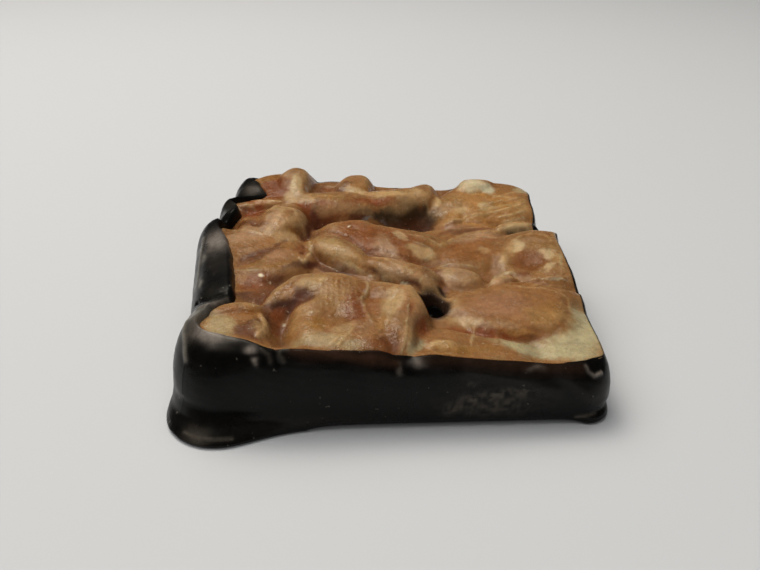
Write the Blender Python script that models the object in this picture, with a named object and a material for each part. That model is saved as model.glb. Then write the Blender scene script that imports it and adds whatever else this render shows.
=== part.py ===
"""Florentine: a slab of almond flakes set in caramel, its base and sides dipped in dark chocolate.

Metres, +Z up. The front is at -Y and the thick end of the slab is at -X. The origin is on the
resting face, under the middle of the bounding box. Sizes below are in millimetres, measured from
the middle of the caramel top, and the whole is moved to its origin at the end.
"""
import math

import bmesh
import bpy
import numpy as np

MM = 0.001
GAP = 0.3               # left between the chocolate and the slab it holds
SEGMENTS = 50           # quads along each side of the slab
EVENING_STEPS = 60      # of the grid of quads on its top
WELL_SIDES = 28         # of the well

# Widest line of the chocolate, seen from above
LEFT, RIGHT = -35.4, 34.1
FRONT, BACK = -34.1, 37.8
FRONT_SKEW = 2.8        # the front face runs back by this much from left to right
RIGHT_SKEW = 2.9        # the right face runs in by this much from front to back
CORNER_RADII = {"front_left": 9.8, "front_right": 5.2, "back_right": 7.0, "back_left": 7.5}
# Lobes of chocolate down the left side: y, reach, growth of the reach towards the back, half length
LOBES = ((-27.5, 0.42, -0.03, 11.0), (-2.4, 1.6, 0.15, 14.9), (16.3, 0.7, 0.0, 4.4), (30.4, -0.3, 0.0, 7.2))
LOBE_VALLEY, LOBE_BLEND = 0.8, 0.15         # depth between the lobes, and their rounding into it
LOBE_SQUARENESS = 10    # of the ends of the lobes
# Swellings of the right side: y, reach, half width
RIGHT_WAVES = ((-18.5, -0.5, 6.5), (-9.0, 0.3, 6.0), (4.5, 0.1, 4.0), (13.4, 1.0, 2.6), (20.5, -1.4, 3.5),
               (24.5, -0.6, 3.0), (28.5, -1.2, 4.0))

# Heights
RIM_HEIGHTS = {"front_left": 15.9, "front_right": 9.9, "back_right": 13.8, "back_left": 17.6}
VALLEY_DEPTH = 2.2      # of the caramel between flakes, below the rim
FLOOR = 3.5             # chocolate under the slab
WIDEST_HEIGHT = 4.6     # where the sides stand out furthest
BLEND = 0.34            # rounding where one flake meets the next
SQUARENESS = 2.4        # of the flakes' outlines; 2 is an ellipse
SOFTNESS = 0.12         # rounding of the shoulder of a flake
EDGE_RISE, EDGE_RUN = 6.0, 2.2      # how the top climbs from its edge
VALLEY_RUN = 3.0        # how far in from the edge the valleys reach their depth
EDGE_VALLEYS = 0.6      # share of their depth that they keep at the sides and back
FRONT_FILL = 9.0        # how far in from the front the valleys are filled
# Unevenness of the valley floors: size, radians per mm across and along
VALLEY_WAVE, VALLEY_WAVE_X, VALLEY_WAVE_Y = 0.3, 0.5, 0.42
# How the flakes' outlines wander, slowly and quickly: size, radians per mm, start or skew in each direction
SWAY, SWAY_X, SWAY_Y, SWAY_START_X, SWAY_START_Y = 0.5, 0.46, 0.42, 0.7, 1.9
RIPPLE, RIPPLE_X, RIPPLE_Y, RIPPLE_SKEW_X, RIPPLE_SKEW_Y = 0.12, 0.95, 0.90, -0.4, 0.5

# Dips in the left rim between the lobes: y, depth, half width
NOTCHES = ((-18.2, 2.0, 2.0), (13.0, 2.2, 1.4), (24.6, 1.9, 1.9))
# How far the chocolate laps over the left of the top: y, width
LEFT_LAPS = ((-34.0, 4.2), (-25.0, 4.4), (-17.5, 8.8), (-5.0, 6.6), (3.0, 4.2), (9.0, 1.6), (12.0, 1.6),
             (14.5, 4.6), (18.4, 4.8), (20.4, 0.4), (21.6, 0.4), (22.6, 11.0), (25.5, 8.2), (30.0, 6.4),
             (36.0, 4.6))
FRONT_LAP, RIGHT_LAP, BACK_LAP = 2.1, 0.6, 2.2
# Where the lap is wider: x, y, extra width, half width
WIDE_LAPS = ((-28.0, -33.5, 2.9, 6.5), (33.0, -30.0, 1.4, 4.0), (31.0, 17.2, 2.4, 2.6))
PLAIN_LAP = 3.6         # lap beyond which the foot of the slab reaches out under it
FOOT_SHARE = 0.75       # of the rest of the lap
# The lap and the caramel line are each evened over the length of a side divided by this
LAP_EVENING, LINE_EVENING = 24, 34
# Waves of the front rim: x, height, half width
RIM_WAVES = ((0.2, -1.3, 2.5), (6.0, 0.5, 2.5), (16.0, -0.3, 5.0), (-20.0, -0.3, 2.0), (24.0, -0.5, 4.5),
             (-5.5, -0.6, 4.0), (-22.0, 0.5, 2.6))
WAVE_RUN, NOTCH_RUN = 6.0, 8.0      # how far the waves and the notches reach in over the top
# Dips of the rim at the back: x, y, depth, half width
RIM_DIPS = ((11.4, 36.0, 0.2, 4.2), (1.5, 36.0, 0.5, 3.5))
# Corners whose shoulder is rounder than the rest: x, y, amount, half width
SOFT_CORNERS = ((-35.0, -30.0, 0.40, 11.0), (34.0, -27.0, 0.32, 10.0))
# Feet where chocolate pooled as it set: x, y, reach, half width
FEET = ((-28.4, -33.2, 4.1, 9.3), (32.2, -30.9, 0.65, 3.6))
FOOT_RESTS = 0.4        # reach at which a foot touches the table
FOOT_FULLNESS = 0.6     # share of the inset of the base that a foot fills
# Waist above the right foot: x, y, depth, half width, height, half height
WAIST = (33.6, -29.6, 0.7, 5.0, 2.2, 0.7)
BASE_LIFT = 0.3         # of the bottom edge between the feet

# Hole in the slab through which chocolate shows: x, y, half width, half length, turn in degrees
WELL = (6.2, -13.3, 2.3, 3.0, 4.0)
WELL_LOW, WELL_HIGH = 5.6, 8.8      # chocolate at the near and the far side of the well
MOUTH_HEIGHT, MOUTH_RISE, MOUTH_BLEND = 9.8, 10.0, 0.25     # of the caramel round the well

# Almond flakes: x, y, half length, half width, turn in degrees, top, rise to the right,
# rise to the back, crown, steepness of the flank
FLAKES = {
    "nub": (-25.2, -25.2, 5.8, 5.0, -64, 14.6, -0.01, 0.04, 0.4, 1.5),
    "nub_back": (-26.6, -21.0, 4.9, 1.3, 3, 15.2, -0.02, 0.0, 0.2, 1.6),
    "nub_tip": (-21.4, -25.4, 1.5, 3.2, 10, 14.3, 0.0, 0.0, 0.5, 2.4),
    "front_face": (-8.2, -22.4, 8.6, 10.4, 4, 14.7, -0.02, 0.12, 0.1, 1.9),
    "front_crest": (-11.2, -13.4, 5.4, 3.2, -6, 16.1, -0.05, 0.08, 0.3, 1.6),
    "front_arm": (-18.6, -15.8, 6.4, 1.9, 58, 15.0, 0.02, 0.06, 0.3, 1.4),
    "face_top": (-11.4, -17.0, 5.8, 5.2, 0, 15.6, -0.03, 0.14, 0.1, 1.7),
    "front_brow": (-3.6, -14.2, 5.0, 2.4, -4, 15.4, 0.02, 0.05, 0.3, 1.8),
    "tooth": (1.2, -21.6, 2.3, 7.7, -6, 14.6, -0.03, 0.18, 0.5, 2.3),
    "tooth_left": (-1.2, -19.8, 3.1, 6.3, -20, 14.4, 0.18, 0.16, 0.2, 1.9),
    "tooth_right": (2.7, -23.0, 2.0, 6.2, -3, 12.5, -0.3, 0.12, 0.2, 1.8),
    "plateau": (19.9, -14.4, 11.5, 7.8, -7, 11.8, -0.02, 0.04, 0.4, 2.4),
    "plateau_back": (24.0, -9.0, 7.4, 2.7, -6, 11.9, -0.02, 0.00, 0.4, 1.5),
    "shelf": (11.6, -25.2, 9.0, 3.3, -8, 11.0, -0.05, 0.06, 0.4, 1.2),
    "shelf_knob": (7.4, -26.8, 3.2, 1.8, -16, 11.5, -0.02, 0.00, 0.6, 1.1),
    "corner": (28.2, -21.4, 5.4, 10.4, 6, 10.2, -0.02, 0.05, 0.2, 1.2),
    "left_lower": (-22.4, -3.6, 8.4, 4.8, 56, 14.9, 0.01, 0.08, 0.5, 1.5),
    "left_upper": (-26.4, 2.6, 8.4, 6.8, 24, 15.6, 0.0, 0.09, 0.3, 1.5),
    "cup": (-16.8, 2.2, 1.6, 3.2, 12, 14.6, 0.05, 0.02, 0.2, 1.7),
    "dome": (-21.8, 12.4, 6.6, 3.4, 66, 17.5, 0.02, 0.1, 0.5, 1.8),
    "dome_slope": (-25.0, 11.0, 4.6, 5.8, 0, 16.7, 0.05, 0.08, 0.2, 1.3),
    "saddle": (-28.2, 17.4, 4.4, 5.2, 0, 14.7, 0.02, 0.14, 0.0, 1.5),
    "fringe": (-27.4, 21.4, 5.6, 1.5, 4, 16.1, 0.02, 0.05, 0.4, 1.8),
    "back_slab": (-25.6, 27.8, 6.6, 5.8, 4, 17.3, 0.1, 0.18, 0.2, 1.6),
    "back_peak": (-20.9, 28.8, 5.0, 2.7, 86, 18.4, 0.0, 0.22, 0.5, 1.7),
    "back_dip": (-14.4, 32.0, 4.2, 4.0, 0, 15.4, 0.00, 0.03, 0.2, 1.6),
    "back_bump": (-8.4, 31.0, 3.5, 4.6, 0, 16.3, 0.0, 0.16, 0.9, 1.4),
    "log_left": (-14.0, 22.6, 8.4, 3.8, 5, 16.5, -0.03, 0.09, 0.4, 1.5),
    "log_right": (0.2, 27.2, 9.4, 3.6, 18, 15.4, -0.02, 0.05, 0.7, 2.2),
    "log_end": (6.6, 29.6, 2.4, 3.6, -20, 15.4, -0.04, 0.1, 0.6, 1.8),
    "middle": (-2.0, 8.2, 12.4, 5.9, -15, 14.1, -0.05, 0.10, 0.6, 1.6),
    "middle_peak": (-8.8, 13.2, 4.8, 3.4, 4, 14.9, 0.00, 0.05, 0.5, 1.4),
    "sausage": (-10.8, 2.6, 6.9, 3.0, -41, 15.1, 0.0, 0.0, 0.9, 1.8),
    "tongue": (0.6, -3.9, 7.2, 2.9, -31, 13.8, -0.05, 0.0, 0.9, 1.9),
    "oval": (10.8, -3.6, 3.9, 2.6, -6, 12.3, 0.0, 0.08, 0.4, 1.5),
    "right_middle": (15.4, 6.6, 8.8, 6.0, 30, 12.5, 0.00, 0.07, 0.4, 1.5),
    "strip": (13.2, 13.6, 8.0, 3.4, 12, 12.4, -0.02, 0.10, 0.2, 1.5),
    "right_lobe": (26.9, 3.8, 8.4, 10.0, -6, 12.9, 0.04, 0.16, 0.6, 1.7),
    "knob": (19.0, -4.8, 2.4, 1.6, 30, 11.6, 0.00, 0.00, 0.7, 1.2),
    "back_right": (20.9, 28.2, 10.1, 8.5, -5, 14.3, 0.01, 0.17, 0.3, 1.8),
    "back_lump": (18.2, 34.0, 3.4, 3.2, 0, 15.8, -0.03, 0.02, 0.6, 1.6),
    "back_join": (10.8, 24.4, 3.0, 4.6, -4, 13.4, 0.06, 0.14, 0.1, 1.3),
    "fragment": (24.8, 17.8, 3.8, 1.6, 28, 12.6, 0.02, 0.0, 0.4, 2.2),
}
# Hollows in the tops: x, y, half length, half width, turn in degrees, depth
HOLLOWS = {
    "lobe_middle": (25.0, 0.8, 4.2, 3.0, 20, 0.9),
    "face_middle": (-9.4, -21.6, 3.4, 4.4, 0, 0.8),
    "red_valley": (-17.5, -18.7, 4.8, 2.0, 32, 1.3),
    "amber_valley": (-18.2, -25.6, 2.9, 5.2, 2, 1.1),
    "rib_valley": (-4.6, -18.0, 1.6, 4.0, -6, 0.5),
    "saddle_middle": (-27.6, 15.0, 4.0, 2.8, 0, 0.7),
    "back_pit": (0.6, 21.0, 9.4, 3.2, 14, 2.4),
    "deep_gap": (-15.6, 17.2, 5.6, 2.6, -6, 2.6),
    "pink_valley": (-12.8, -6.6, 5.6, 2.0, -30, 0.8),
    "tongue_under": (-0.6, -9.4, 4.8, 1.8, -20, 1.2),
    "right_gap": (27.6, 15.0, 5.4, 1.4, 20, 4.5),
    "pit_right": (6.2, 21.8, 3.4, 2.4, 10, 2.2),
    "pit_near": (5.0, 19.0, 4.6, 2.4, -8, 2.0),
}

# Section of the rim and the side, from the caramel line out to the widest line
SHOULDER_STEPS = (0.16, 0.34, 0.52, 0.70, 0.86, 1.0)
OUTWARD, DOWNWARD = 0.92, 0.66      # powers of its roundness
LEFT_SQUARE = 0.05                  # taken off them down the left side
LIP_SLACK, LIP_RISE = 0.02, 0.15    # of the chocolate beside the caramel line
LEFT_RISE, LEFT_LEVEL = 0.6, 0.9    # how the left rim stands over the caramel
# Section below the widest line: height, reach out without a foot, share of the foot's reach
BASE_PROFILE = ((2.4, -0.1, 0.30), (1.4, -0.25, 0.74), (0.6, -0.5, 1.0), (0.1, -1.3, 1.0))
BASE_HEIGHT, BASE_INSET = 3.0, 5.0
CUTTER_TOP, CUTTER_BOTTOM = 30.0, -1.0      # of the cutter that makes the well
POST_BOTTOM = FLOOR - 1.0           # of the post of chocolate in the well, inside the floor
POST_TIP = 0.6                      # rise of the middle of its top
POST_LEAN = 0.4                     # turn of its high side, in radians

CHOCOLATE = {"name": "dark_chocolate", "colour": (0.012, 0.009, 0.007), "roughness": 0.32}
CARAMEL = {"name": "almond_caramel", "colour": (0.31, 0.135, 0.055), "roughness": 0.42}


def soft_max(heights, blend=BLEND):
    """Smooth upper envelope of a list of height arrays."""
    stack = np.stack(heights)
    top = stack.max(axis=0)
    return top + blend * np.log(np.exp((stack - top) / blend).sum(axis=0))


def soft_min(first, second, blend=BLEND):
    return -soft_max([-first, -second], blend)


def bump(distance, half_width):
    return np.exp(-(distance / half_width) ** 2)


def side_walk(start, end, first_radius, last_radius, count):
    """Points at even steps from the middle of one round corner to the middle of the next."""
    start, end = np.array(start), np.array(end)
    along = (end - start) / np.linalg.norm(end - start)
    inward = np.array([-along[1], along[0]])
    first_arc, last_arc = first_radius * math.pi / 4, last_radius * math.pi / 4
    straight = np.linalg.norm(end - start) - first_radius - last_radius
    points = []
    for travelled in np.linspace(0, first_arc + straight + last_arc, count + 1)[:-1]:
        if travelled < first_arc:
            angle = math.pi / 4 - travelled / first_radius
            centre = start + first_radius * (along + inward)
            points.append(centre - first_radius * (math.sin(angle) * along + math.cos(angle) * inward))
        elif travelled < first_arc + straight:
            points.append(start + along * (first_radius + travelled - first_arc))
        else:
            angle = (travelled - first_arc - straight) / last_radius
            centre = end + last_radius * (inward - along)
            points.append(centre + last_radius * (math.sin(angle) * along - math.cos(angle) * inward))
    return points


def widest_line():
    """The widest line of the chocolate, anticlockwise from the front left corner, with its normals."""
    radii = CORNER_RADII
    corners = [(LEFT, FRONT), (RIGHT, FRONT + FRONT_SKEW), (RIGHT - RIGHT_SKEW, BACK), (LEFT, BACK)]
    order = [radii["front_left"], radii["front_right"], radii["back_right"], radii["back_left"]]
    points = []
    for side in range(4):
        after = (side + 1) % 4
        points += side_walk(corners[side], corners[after], order[side], order[after], SEGMENTS)
    points = np.array(points)
    tangent = np.roll(points, -1, axis=0) - np.roll(points, 1, axis=0)
    normal = np.stack([tangent[:, 1], -tangent[:, 0]], axis=1)
    normal /= np.linalg.norm(normal, axis=1)[:, None]
    for y, reach, half in RIGHT_WAVES:
        wave = reach * bump(points[:, 1] - y, half) * np.clip(normal[:, 0], 0, None)
        points = points + normal * wave[:, None]
    return points, normal


def lap_widths(points, normal):
    """How far the chocolate reaches in over the top at each point of the widest line."""
    ys, widths = np.array(LEFT_LAPS).T
    left = np.interp(points[:, 1], ys, widths)
    facing = np.stack([-normal[:, 0], -normal[:, 1], normal[:, 0], normal[:, 1]])
    share = np.clip(facing, 0, None) ** 2
    straight = np.stack([left, np.full_like(left, FRONT_LAP), np.full_like(left, RIGHT_LAP),
                         np.full_like(left, BACK_LAP)])
    lap = (share * straight).sum(axis=0)
    for x, y, extra, width in WIDE_LAPS:
        lap = lap + extra * bump(np.hypot(points[:, 0] - x, points[:, 1] - y), width)
    return evened(lap, SEGMENTS // LAP_EVENING)


def evened(values, reach):
    """Values round a closed line after averaging each with its neighbours out to the given reach."""
    kernel = np.hanning(2 * reach + 3)[1:-1]
    padded = np.concatenate([values[-reach:], values, values[:reach]])
    return np.convolve(padded, kernel / kernel.sum(), mode="valid")


def outlines():
    """The widest line with its lobes, the caramel line inside it, and the normals."""
    points, normal = widest_line()
    lap = lap_widths(points, normal)
    caramel = points - normal * lap[:, None]
    caramel = np.stack([evened(caramel[:, axis], SEGMENTS // LINE_EVENING) for axis in (0, 1)], axis=1)
    arcs = []
    for y, reach, growth, half in LOBES:
        past = points[:, 1] - y
        shape = np.clip(1 - (past / half) ** LOBE_SQUARENESS, 0, None)
        arcs.append((reach + growth * past + LOBE_VALLEY) * shape - LOBE_VALLEY)
    swell = soft_max(arcs, LOBE_BLEND) * np.clip(-normal[:, 0], 0, None)
    widest = points + normal * swell[:, None]
    return widest, caramel, normal


def rim_height(x, y):
    """Height of the rim, between four corner heights, with the waves of the front edge."""
    across = (x - LEFT) / (RIGHT - LEFT)
    along = (y - FRONT) / (BACK - FRONT)
    corner = RIM_HEIGHTS
    front = corner["front_left"] + (corner["front_right"] - corner["front_left"]) * across
    back = corner["back_left"] + (corner["back_right"] - corner["back_left"]) * across
    height = front + (back - front) * along
    near_front = bump(np.clip(y - FRONT, 0, None), WAVE_RUN)
    for centre, rise, width in RIM_WAVES:
        height = height + rise * bump(x - centre, width) * near_front
    for notch_y, depth, width in NOTCHES:
        height = height - depth * bump(y - notch_y, width) * bump(np.clip(x - LEFT, 0, None), NOTCH_RUN)
    for dip_x, dip_y, depth, width in RIM_DIPS:
        height = height - depth * bump(np.hypot(x - dip_x, y - dip_y), width)
    return height


def oval_reach(x, y, cx, cy, length, width, turn, power=2.0):
    """1 on the edge of an oval, less inside it."""
    c, s = math.cos(math.radians(turn)), math.sin(math.radians(turn))
    along = np.abs(c * (x - cx) + s * (y - cy)) / length
    across = np.abs(c * (y - cy) - s * (x - cx)) / width
    return (along ** power + across ** power) ** (1 / power)


def flake_height(x, y, flake):
    """Height of one flake: a tilted, crowned oval whose flank falls away beyond its edge."""
    cx, cy, length, width, turn, top, rise_x, rise_y, crown, flank = flake
    reach = oval_reach(x, y, cx, cy, length, width, turn, SQUARENESS)
    past = SOFTNESS * np.logaddexp(0, (reach - 1) / SOFTNESS)
    tilt = rise_x * (x - cx) + rise_y * (y - cy)
    return top + tilt + crown * (1 - reach ** 2) - flank * past * min(length, width)


def well_reach(x, y, margin=0.0):
    """1 on the edge of the well, less inside it."""
    cx, cy, half_width, half_length, turn = WELL
    return oval_reach(x, y, cx, cy, half_width + margin, half_length + margin, turn)


def relief(x, y, distance):
    """The lumpy top before it is trimmed to the rim, which lies at the given distance."""
    wx = x + SWAY * np.sin(SWAY_X * y + SWAY_START_X) + RIPPLE * np.sin(RIPPLE_X * y + RIPPLE_SKEW_X * x)
    wy = y + SWAY * np.sin(SWAY_Y * x + SWAY_START_Y) + RIPPLE * np.sin(RIPPLE_Y * x + RIPPLE_SKEW_Y * y)
    kept = EDGE_VALLEYS * (1 - bump(np.clip(y - FRONT, 0, None), FRONT_FILL))
    depth = VALLEY_DEPTH * (1 - (1 - kept) * np.exp(-distance / VALLEY_RUN))
    waves = VALLEY_WAVE * np.sin(VALLEY_WAVE_X * x) * np.sin(VALLEY_WAVE_Y * y)
    heights = [rim_height(x, y) - depth + waves]
    heights += [flake_height(wx, wy, flake) for flake in FLAKES.values()]
    top = soft_max(heights)
    for cx, cy, length, width, turn, depth in HOLLOWS.values():
        top = top - depth * bump(oval_reach(x, y, cx, cy, length, width, turn), 1.0)
    mouth = MOUTH_HEIGHT + MOUTH_RISE * np.clip(well_reach(x, y) - 1, 0, None)
    return soft_min(top, mouth, MOUTH_BLEND)


def rim_distance(x, y, caramel):
    """Distance of each point from the caramel line."""
    distance = np.full(x.shape, 1e9)
    for px, py in caramel[::2]:
        distance = np.minimum(distance, np.hypot(x - px, y - py))
    return distance


def top_height(x, y, distance):
    """Height of the caramel top, trimmed so that it comes down to the rim at the caramel line."""
    edge = rim_height(x, y) + EDGE_RISE * (1 - np.exp(-distance / EDGE_RUN))
    return soft_min(relief(x, y, distance), edge)


def fitted_grid(outline):
    """A square grid of points inside a closed outline of four equal sides, evened out."""
    n = SEGMENTS
    ring = np.concatenate([outline, outline[:1]])
    front, right = ring[:n + 1], ring[n:2 * n + 1]
    back, left = ring[2 * n:3 * n + 1][::-1], ring[3 * n:][::-1]
    u = np.linspace(0, 1, n + 1)[None, :, None]
    v = np.linspace(0, 1, n + 1)[:, None, None]
    ruled = (1 - v) * front[None] + v * back[None] + (1 - u) * left[:, None] + u * right[:, None]
    corners = ((1 - u) * (1 - v) * front[0] + u * (1 - v) * front[-1]
               + (1 - u) * v * back[0] + u * v * back[-1])
    grid = ruled - corners
    for _ in range(EVENING_STEPS):
        around = grid[:-2, 1:-1] + grid[2:, 1:-1] + grid[1:-1, :-2] + grid[1:-1, 2:]
        grid[1:-1, 1:-1] = around / 4
    return grid


def ring_order():
    """Row and column of each border point of the grid, in the order of the outline."""
    n = SEGMENTS
    front = [(0, i) for i in range(n)]
    right = [(i, n) for i in range(n)]
    back = [(n, n - i) for i in range(n)]
    left = [(n - i, 0) for i in range(n)]
    return front + right + back + left


def band(bm, lower, upper, inside=False):
    """Triangles between two closed rings of vertices, facing out, or in if inside is set."""
    count = len(lower)
    for i in range(count):
        j = (i + 1) % count
        for face in ((lower[i], lower[j], upper[j]), (lower[i], upper[j], upper[i])):
            bm.faces.new(reversed(face) if inside else face)


def add_ring(bm, plan, heights):
    levels = np.broadcast_to(heights, len(plan))
    return [bm.verts.new((x * MM, y * MM, z * MM)) for (x, y), z in zip(plan, levels)]


def under_lap(widest, caramel):
    """How far the foot of the slab reaches out under the chocolate that laps over it."""
    lap = np.linalg.norm(widest - caramel, axis=1)
    return np.clip(lap - PLAIN_LAP, 0, None) * FOOT_SHARE


def make_slab(widest, caramel, normal):
    """The almond and caramel slab: lumpy top, sides down into the chocolate, flat base."""
    bm = bmesh.new()
    plan = fitted_grid(caramel)
    x, y = plan[..., 0], plan[..., 1]
    heights = top_height(x, y, rim_distance(x, y, caramel))
    verts = [[bm.verts.new((x * MM, y * MM, z * MM)) for (x, y), z in zip(row, row_z)]
             for row, row_z in zip(plan, heights)]
    for j in range(SEGMENTS):
        for i in range(SEGMENTS):
            bm.faces.new((verts[j][i], verts[j][i + 1], verts[j + 1][i + 1], verts[j + 1][i]))
    rim = [verts[j][i] for j, i in ring_order()]
    foot_plan = caramel + normal * under_lap(widest, caramel)[:, None]
    foot = add_ring(bm, foot_plan, FLOOR + GAP)
    band(bm, foot, rim)
    bm.faces.new(list(reversed(foot)))
    return bm


def coat_rings(widest, caramel, normal):
    """Rings of the chocolate coat, from the floor under the slab, up and over the rim, down to the base."""
    inner_foot = caramel + normal * (under_lap(widest, caramel) + GAP)[:, None]
    lip = caramel + normal * (GAP + LIP_SLACK)
    lip_height = top_height(caramel[:, 0], caramel[:, 1], 0.0)
    sunk = rim_height(caramel[:, 0], caramel[:, 1]) - lip_height
    toward = widest - lip
    left = np.clip(-normal[:, 0], 0, None)
    round_off = np.zeros(len(lip))
    for x, y, amount, width in SOFT_CORNERS:
        round_off = round_off + amount * bump(np.hypot(widest[:, 0] - x, widest[:, 1] - y), width)
    square = LEFT_SQUARE * left - round_off
    crest = lip_height + LIP_RISE + left * (LEFT_RISE + LEFT_LEVEL * sunk)
    rings = [(inner_foot, np.full(len(lip), FLOOR)), (lip, lip_height + LIP_RISE / 2)]
    for step in SHOULDER_STEPS:
        angle = step * math.pi / 2
        share = math.sin(angle) ** (OUTWARD - square)
        fall = max(math.cos(angle), 0.0) ** (DOWNWARD - square)
        rings.append((lip + toward * share[:, None], WIDEST_HEIGHT + (crest - WIDEST_HEIGHT) * fall))
    foot = np.zeros(len(lip))
    for x, y, reach, width in FEET:
        foot = foot + reach * bump(np.hypot(widest[:, 0] - x, widest[:, 1] - y), width)
    rests = np.clip(foot / FOOT_RESTS, 0, 1)
    lift = BASE_LIFT * (1 - rests)
    x, y, depth, width, waist_height, waist_half = WAIST
    waist = depth * bump(np.hypot(widest[:, 0] - x, widest[:, 1] - y), width)
    for height, plain, stretch in BASE_PROFILE:
        out = plain * (1 - FOOT_FULLNESS * rests) + stretch * foot
        out = out - waist * bump(height - waist_height, waist_half)
        rings.append((widest + normal * out[:, None], height + lift * (1 - height / BASE_HEIGHT)))
    rings.append((widest - normal * BASE_INSET, np.zeros(len(lip))))
    return rings


def make_coat(widest, caramel, normal):
    """The chocolate tray: floor, sides with lobes and feet, and the rim that laps over the slab."""
    bm = bmesh.new()
    loops = [add_ring(bm, plan, height) for plan, height in coat_rings(widest, caramel, normal)]
    band(bm, loops[0], loops[1], inside=True)
    for inner, outer in zip(loops[1:], loops[2:]):
        band(bm, outer, inner)
    bm.faces.new(loops[0])
    bm.faces.new(list(reversed(loops[-1])))
    return bm


def make_well(margin, bottom, sloped):
    """An upright oval post in the well; its top slopes up to the far side if sloped is set."""
    bm = bmesh.new()
    cx, cy, half_width, half_length, turn = WELL
    c, s = math.cos(math.radians(turn)), math.sin(math.radians(turn))
    lower, upper = [], []
    for i in range(WELL_SIDES):
        angle = 2 * math.pi * i / WELL_SIDES
        a, b = (half_width + margin) * math.cos(angle), (half_length + margin) * math.sin(angle)
        x, y = cx + c * a - s * b, cy + s * a + c * b
        far = (1 + math.sin(angle + POST_LEAN)) / 2
        top = WELL_LOW + (WELL_HIGH - WELL_LOW) * far ** 2 if sloped else CUTTER_TOP
        lower.append(bm.verts.new((x * MM, y * MM, bottom * MM)))
        upper.append(bm.verts.new((x * MM, y * MM, top * MM)))
    band(bm, lower, upper)
    bm.faces.new(list(reversed(lower)))
    if sloped:
        centre = bm.verts.new((cx * MM, cy * MM, (WELL_LOW + POST_TIP) * MM))
        for i in range(WELL_SIDES):
            bm.faces.new((upper[i], upper[(i + 1) % WELL_SIDES], centre))
    else:
        bm.faces.new(upper)
    return bm


def make_object(name, bm, shift):
    mesh = bpy.data.meshes.new(name)
    for vert in bm.verts:
        vert.co.x += shift[0] * MM
        vert.co.y += shift[1] * MM
    bm.normal_update()
    bm.to_mesh(mesh)
    bm.free()
    obj = bpy.data.objects.new(name, mesh)
    bpy.context.scene.collection.objects.link(obj)
    mesh.shade_smooth()
    return obj


def combine(target, other, operation):
    """Adds a Boolean to target and keeps other as a hidden cutter."""
    modifier = target.modifiers.new(operation.lower(), "BOOLEAN")
    modifier.operation = operation
    modifier.object = other
    modifier.solver = "EXACT"
    other.hide_render = True
    other.display_type = "WIRE"


def paint(obj, look):
    material = bpy.data.materials.new(look["name"])
    material.use_nodes = True
    shader = material.node_tree.nodes["Principled BSDF"]
    shader.inputs["Base Color"].default_value = (*look["colour"], 1.0)
    shader.inputs["Roughness"].default_value = look["roughness"]
    shader.inputs["Metallic"].default_value = 0.0
    obj.data.materials.append(material)


def clear_scene():
    for obj in list(bpy.data.objects):
        bpy.data.objects.remove(obj, do_unlink=True)


def main():
    clear_scene()
    widest, caramel, normal = outlines()
    every = np.concatenate([plan for plan, _ in coat_rings(widest, caramel, normal)])
    shift = -(every.min(axis=0) + every.max(axis=0)) / 2
    coat = make_object("chocolate_coat", make_coat(widest, caramel, normal), shift)
    slab = make_object("almond_caramel_slab", make_slab(widest, caramel, normal), shift)
    post = make_object("well_chocolate", make_well(-GAP, POST_BOTTOM, True), shift)
    hole = make_object("well_hole", make_well(0.0, CUTTER_BOTTOM, False), shift)
    combine(coat, post, "UNION")
    combine(slab, hole, "DIFFERENCE")
    paint(coat, CHOCOLATE)
    paint(slab, CARAMEL)


main()
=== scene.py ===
import math

import bpy
import numpy as np
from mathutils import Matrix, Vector


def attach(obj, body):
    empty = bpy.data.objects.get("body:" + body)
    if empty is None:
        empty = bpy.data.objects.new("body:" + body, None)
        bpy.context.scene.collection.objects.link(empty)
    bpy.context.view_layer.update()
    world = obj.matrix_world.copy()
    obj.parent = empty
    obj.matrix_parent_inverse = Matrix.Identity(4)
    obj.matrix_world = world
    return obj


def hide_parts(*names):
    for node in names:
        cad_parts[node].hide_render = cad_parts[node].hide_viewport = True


# Looks of a florentine: a glazed slab of almond flakes and caramel in a coat of dark chocolate.
# Lengths are in millimetres, in the slab's own plan frame, whose origin is the middle of the
# caramel top. SHIFT then moves the plan so that the origin is under the middle of the whole.

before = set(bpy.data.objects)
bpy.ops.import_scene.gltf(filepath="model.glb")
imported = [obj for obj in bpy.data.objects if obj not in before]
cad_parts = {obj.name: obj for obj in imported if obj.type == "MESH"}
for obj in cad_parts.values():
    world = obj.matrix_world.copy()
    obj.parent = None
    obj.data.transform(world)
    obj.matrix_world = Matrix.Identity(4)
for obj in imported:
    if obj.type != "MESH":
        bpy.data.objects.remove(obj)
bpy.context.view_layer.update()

MM = 0.001
SEGMENTS = 300          # quads along each side of the slab
EVENING_STEPS = 60      # of the grid of quads on its top

# Widest line of the chocolate, seen from above
LEFT, RIGHT = -35.4, 34.1
FRONT, BACK = -34.1, 37.8
FRONT_SKEW = 2.8        # the front face runs back by this much from left to right
RIGHT_SKEW = 2.9        # the right face runs in by this much from front to back
CORNER_RADII = {"front_left": 9.8, "front_right": 5.2, "back_right": 7.0, "back_left": 7.5}
# Lobes of chocolate down the left side: y, reach, growth of the reach towards the back, half length
LOBES = ((-27.5, 0.42, -0.03, 11.0), (-2.4, 1.6, 0.15, 14.9), (16.3, 0.7, 0.0, 4.4), (30.4, -0.3, 0.0, 7.2))
LOBE_VALLEY, LOBE_BLEND = 0.8, 0.15         # depth between the lobes, and their rounding into it
LOBE_SQUARENESS = 10    # of the ends of the lobes
# Swellings of the right side: y, reach, half width
RIGHT_WAVES = ((-18.5, -0.5, 6.5), (-9.0, 0.3, 6.0), (4.5, 0.1, 4.0), (13.4, 1.0, 2.6), (20.5, -1.4, 3.5),
               (24.5, -0.6, 3.0), (28.5, -1.2, 4.0))

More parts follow.
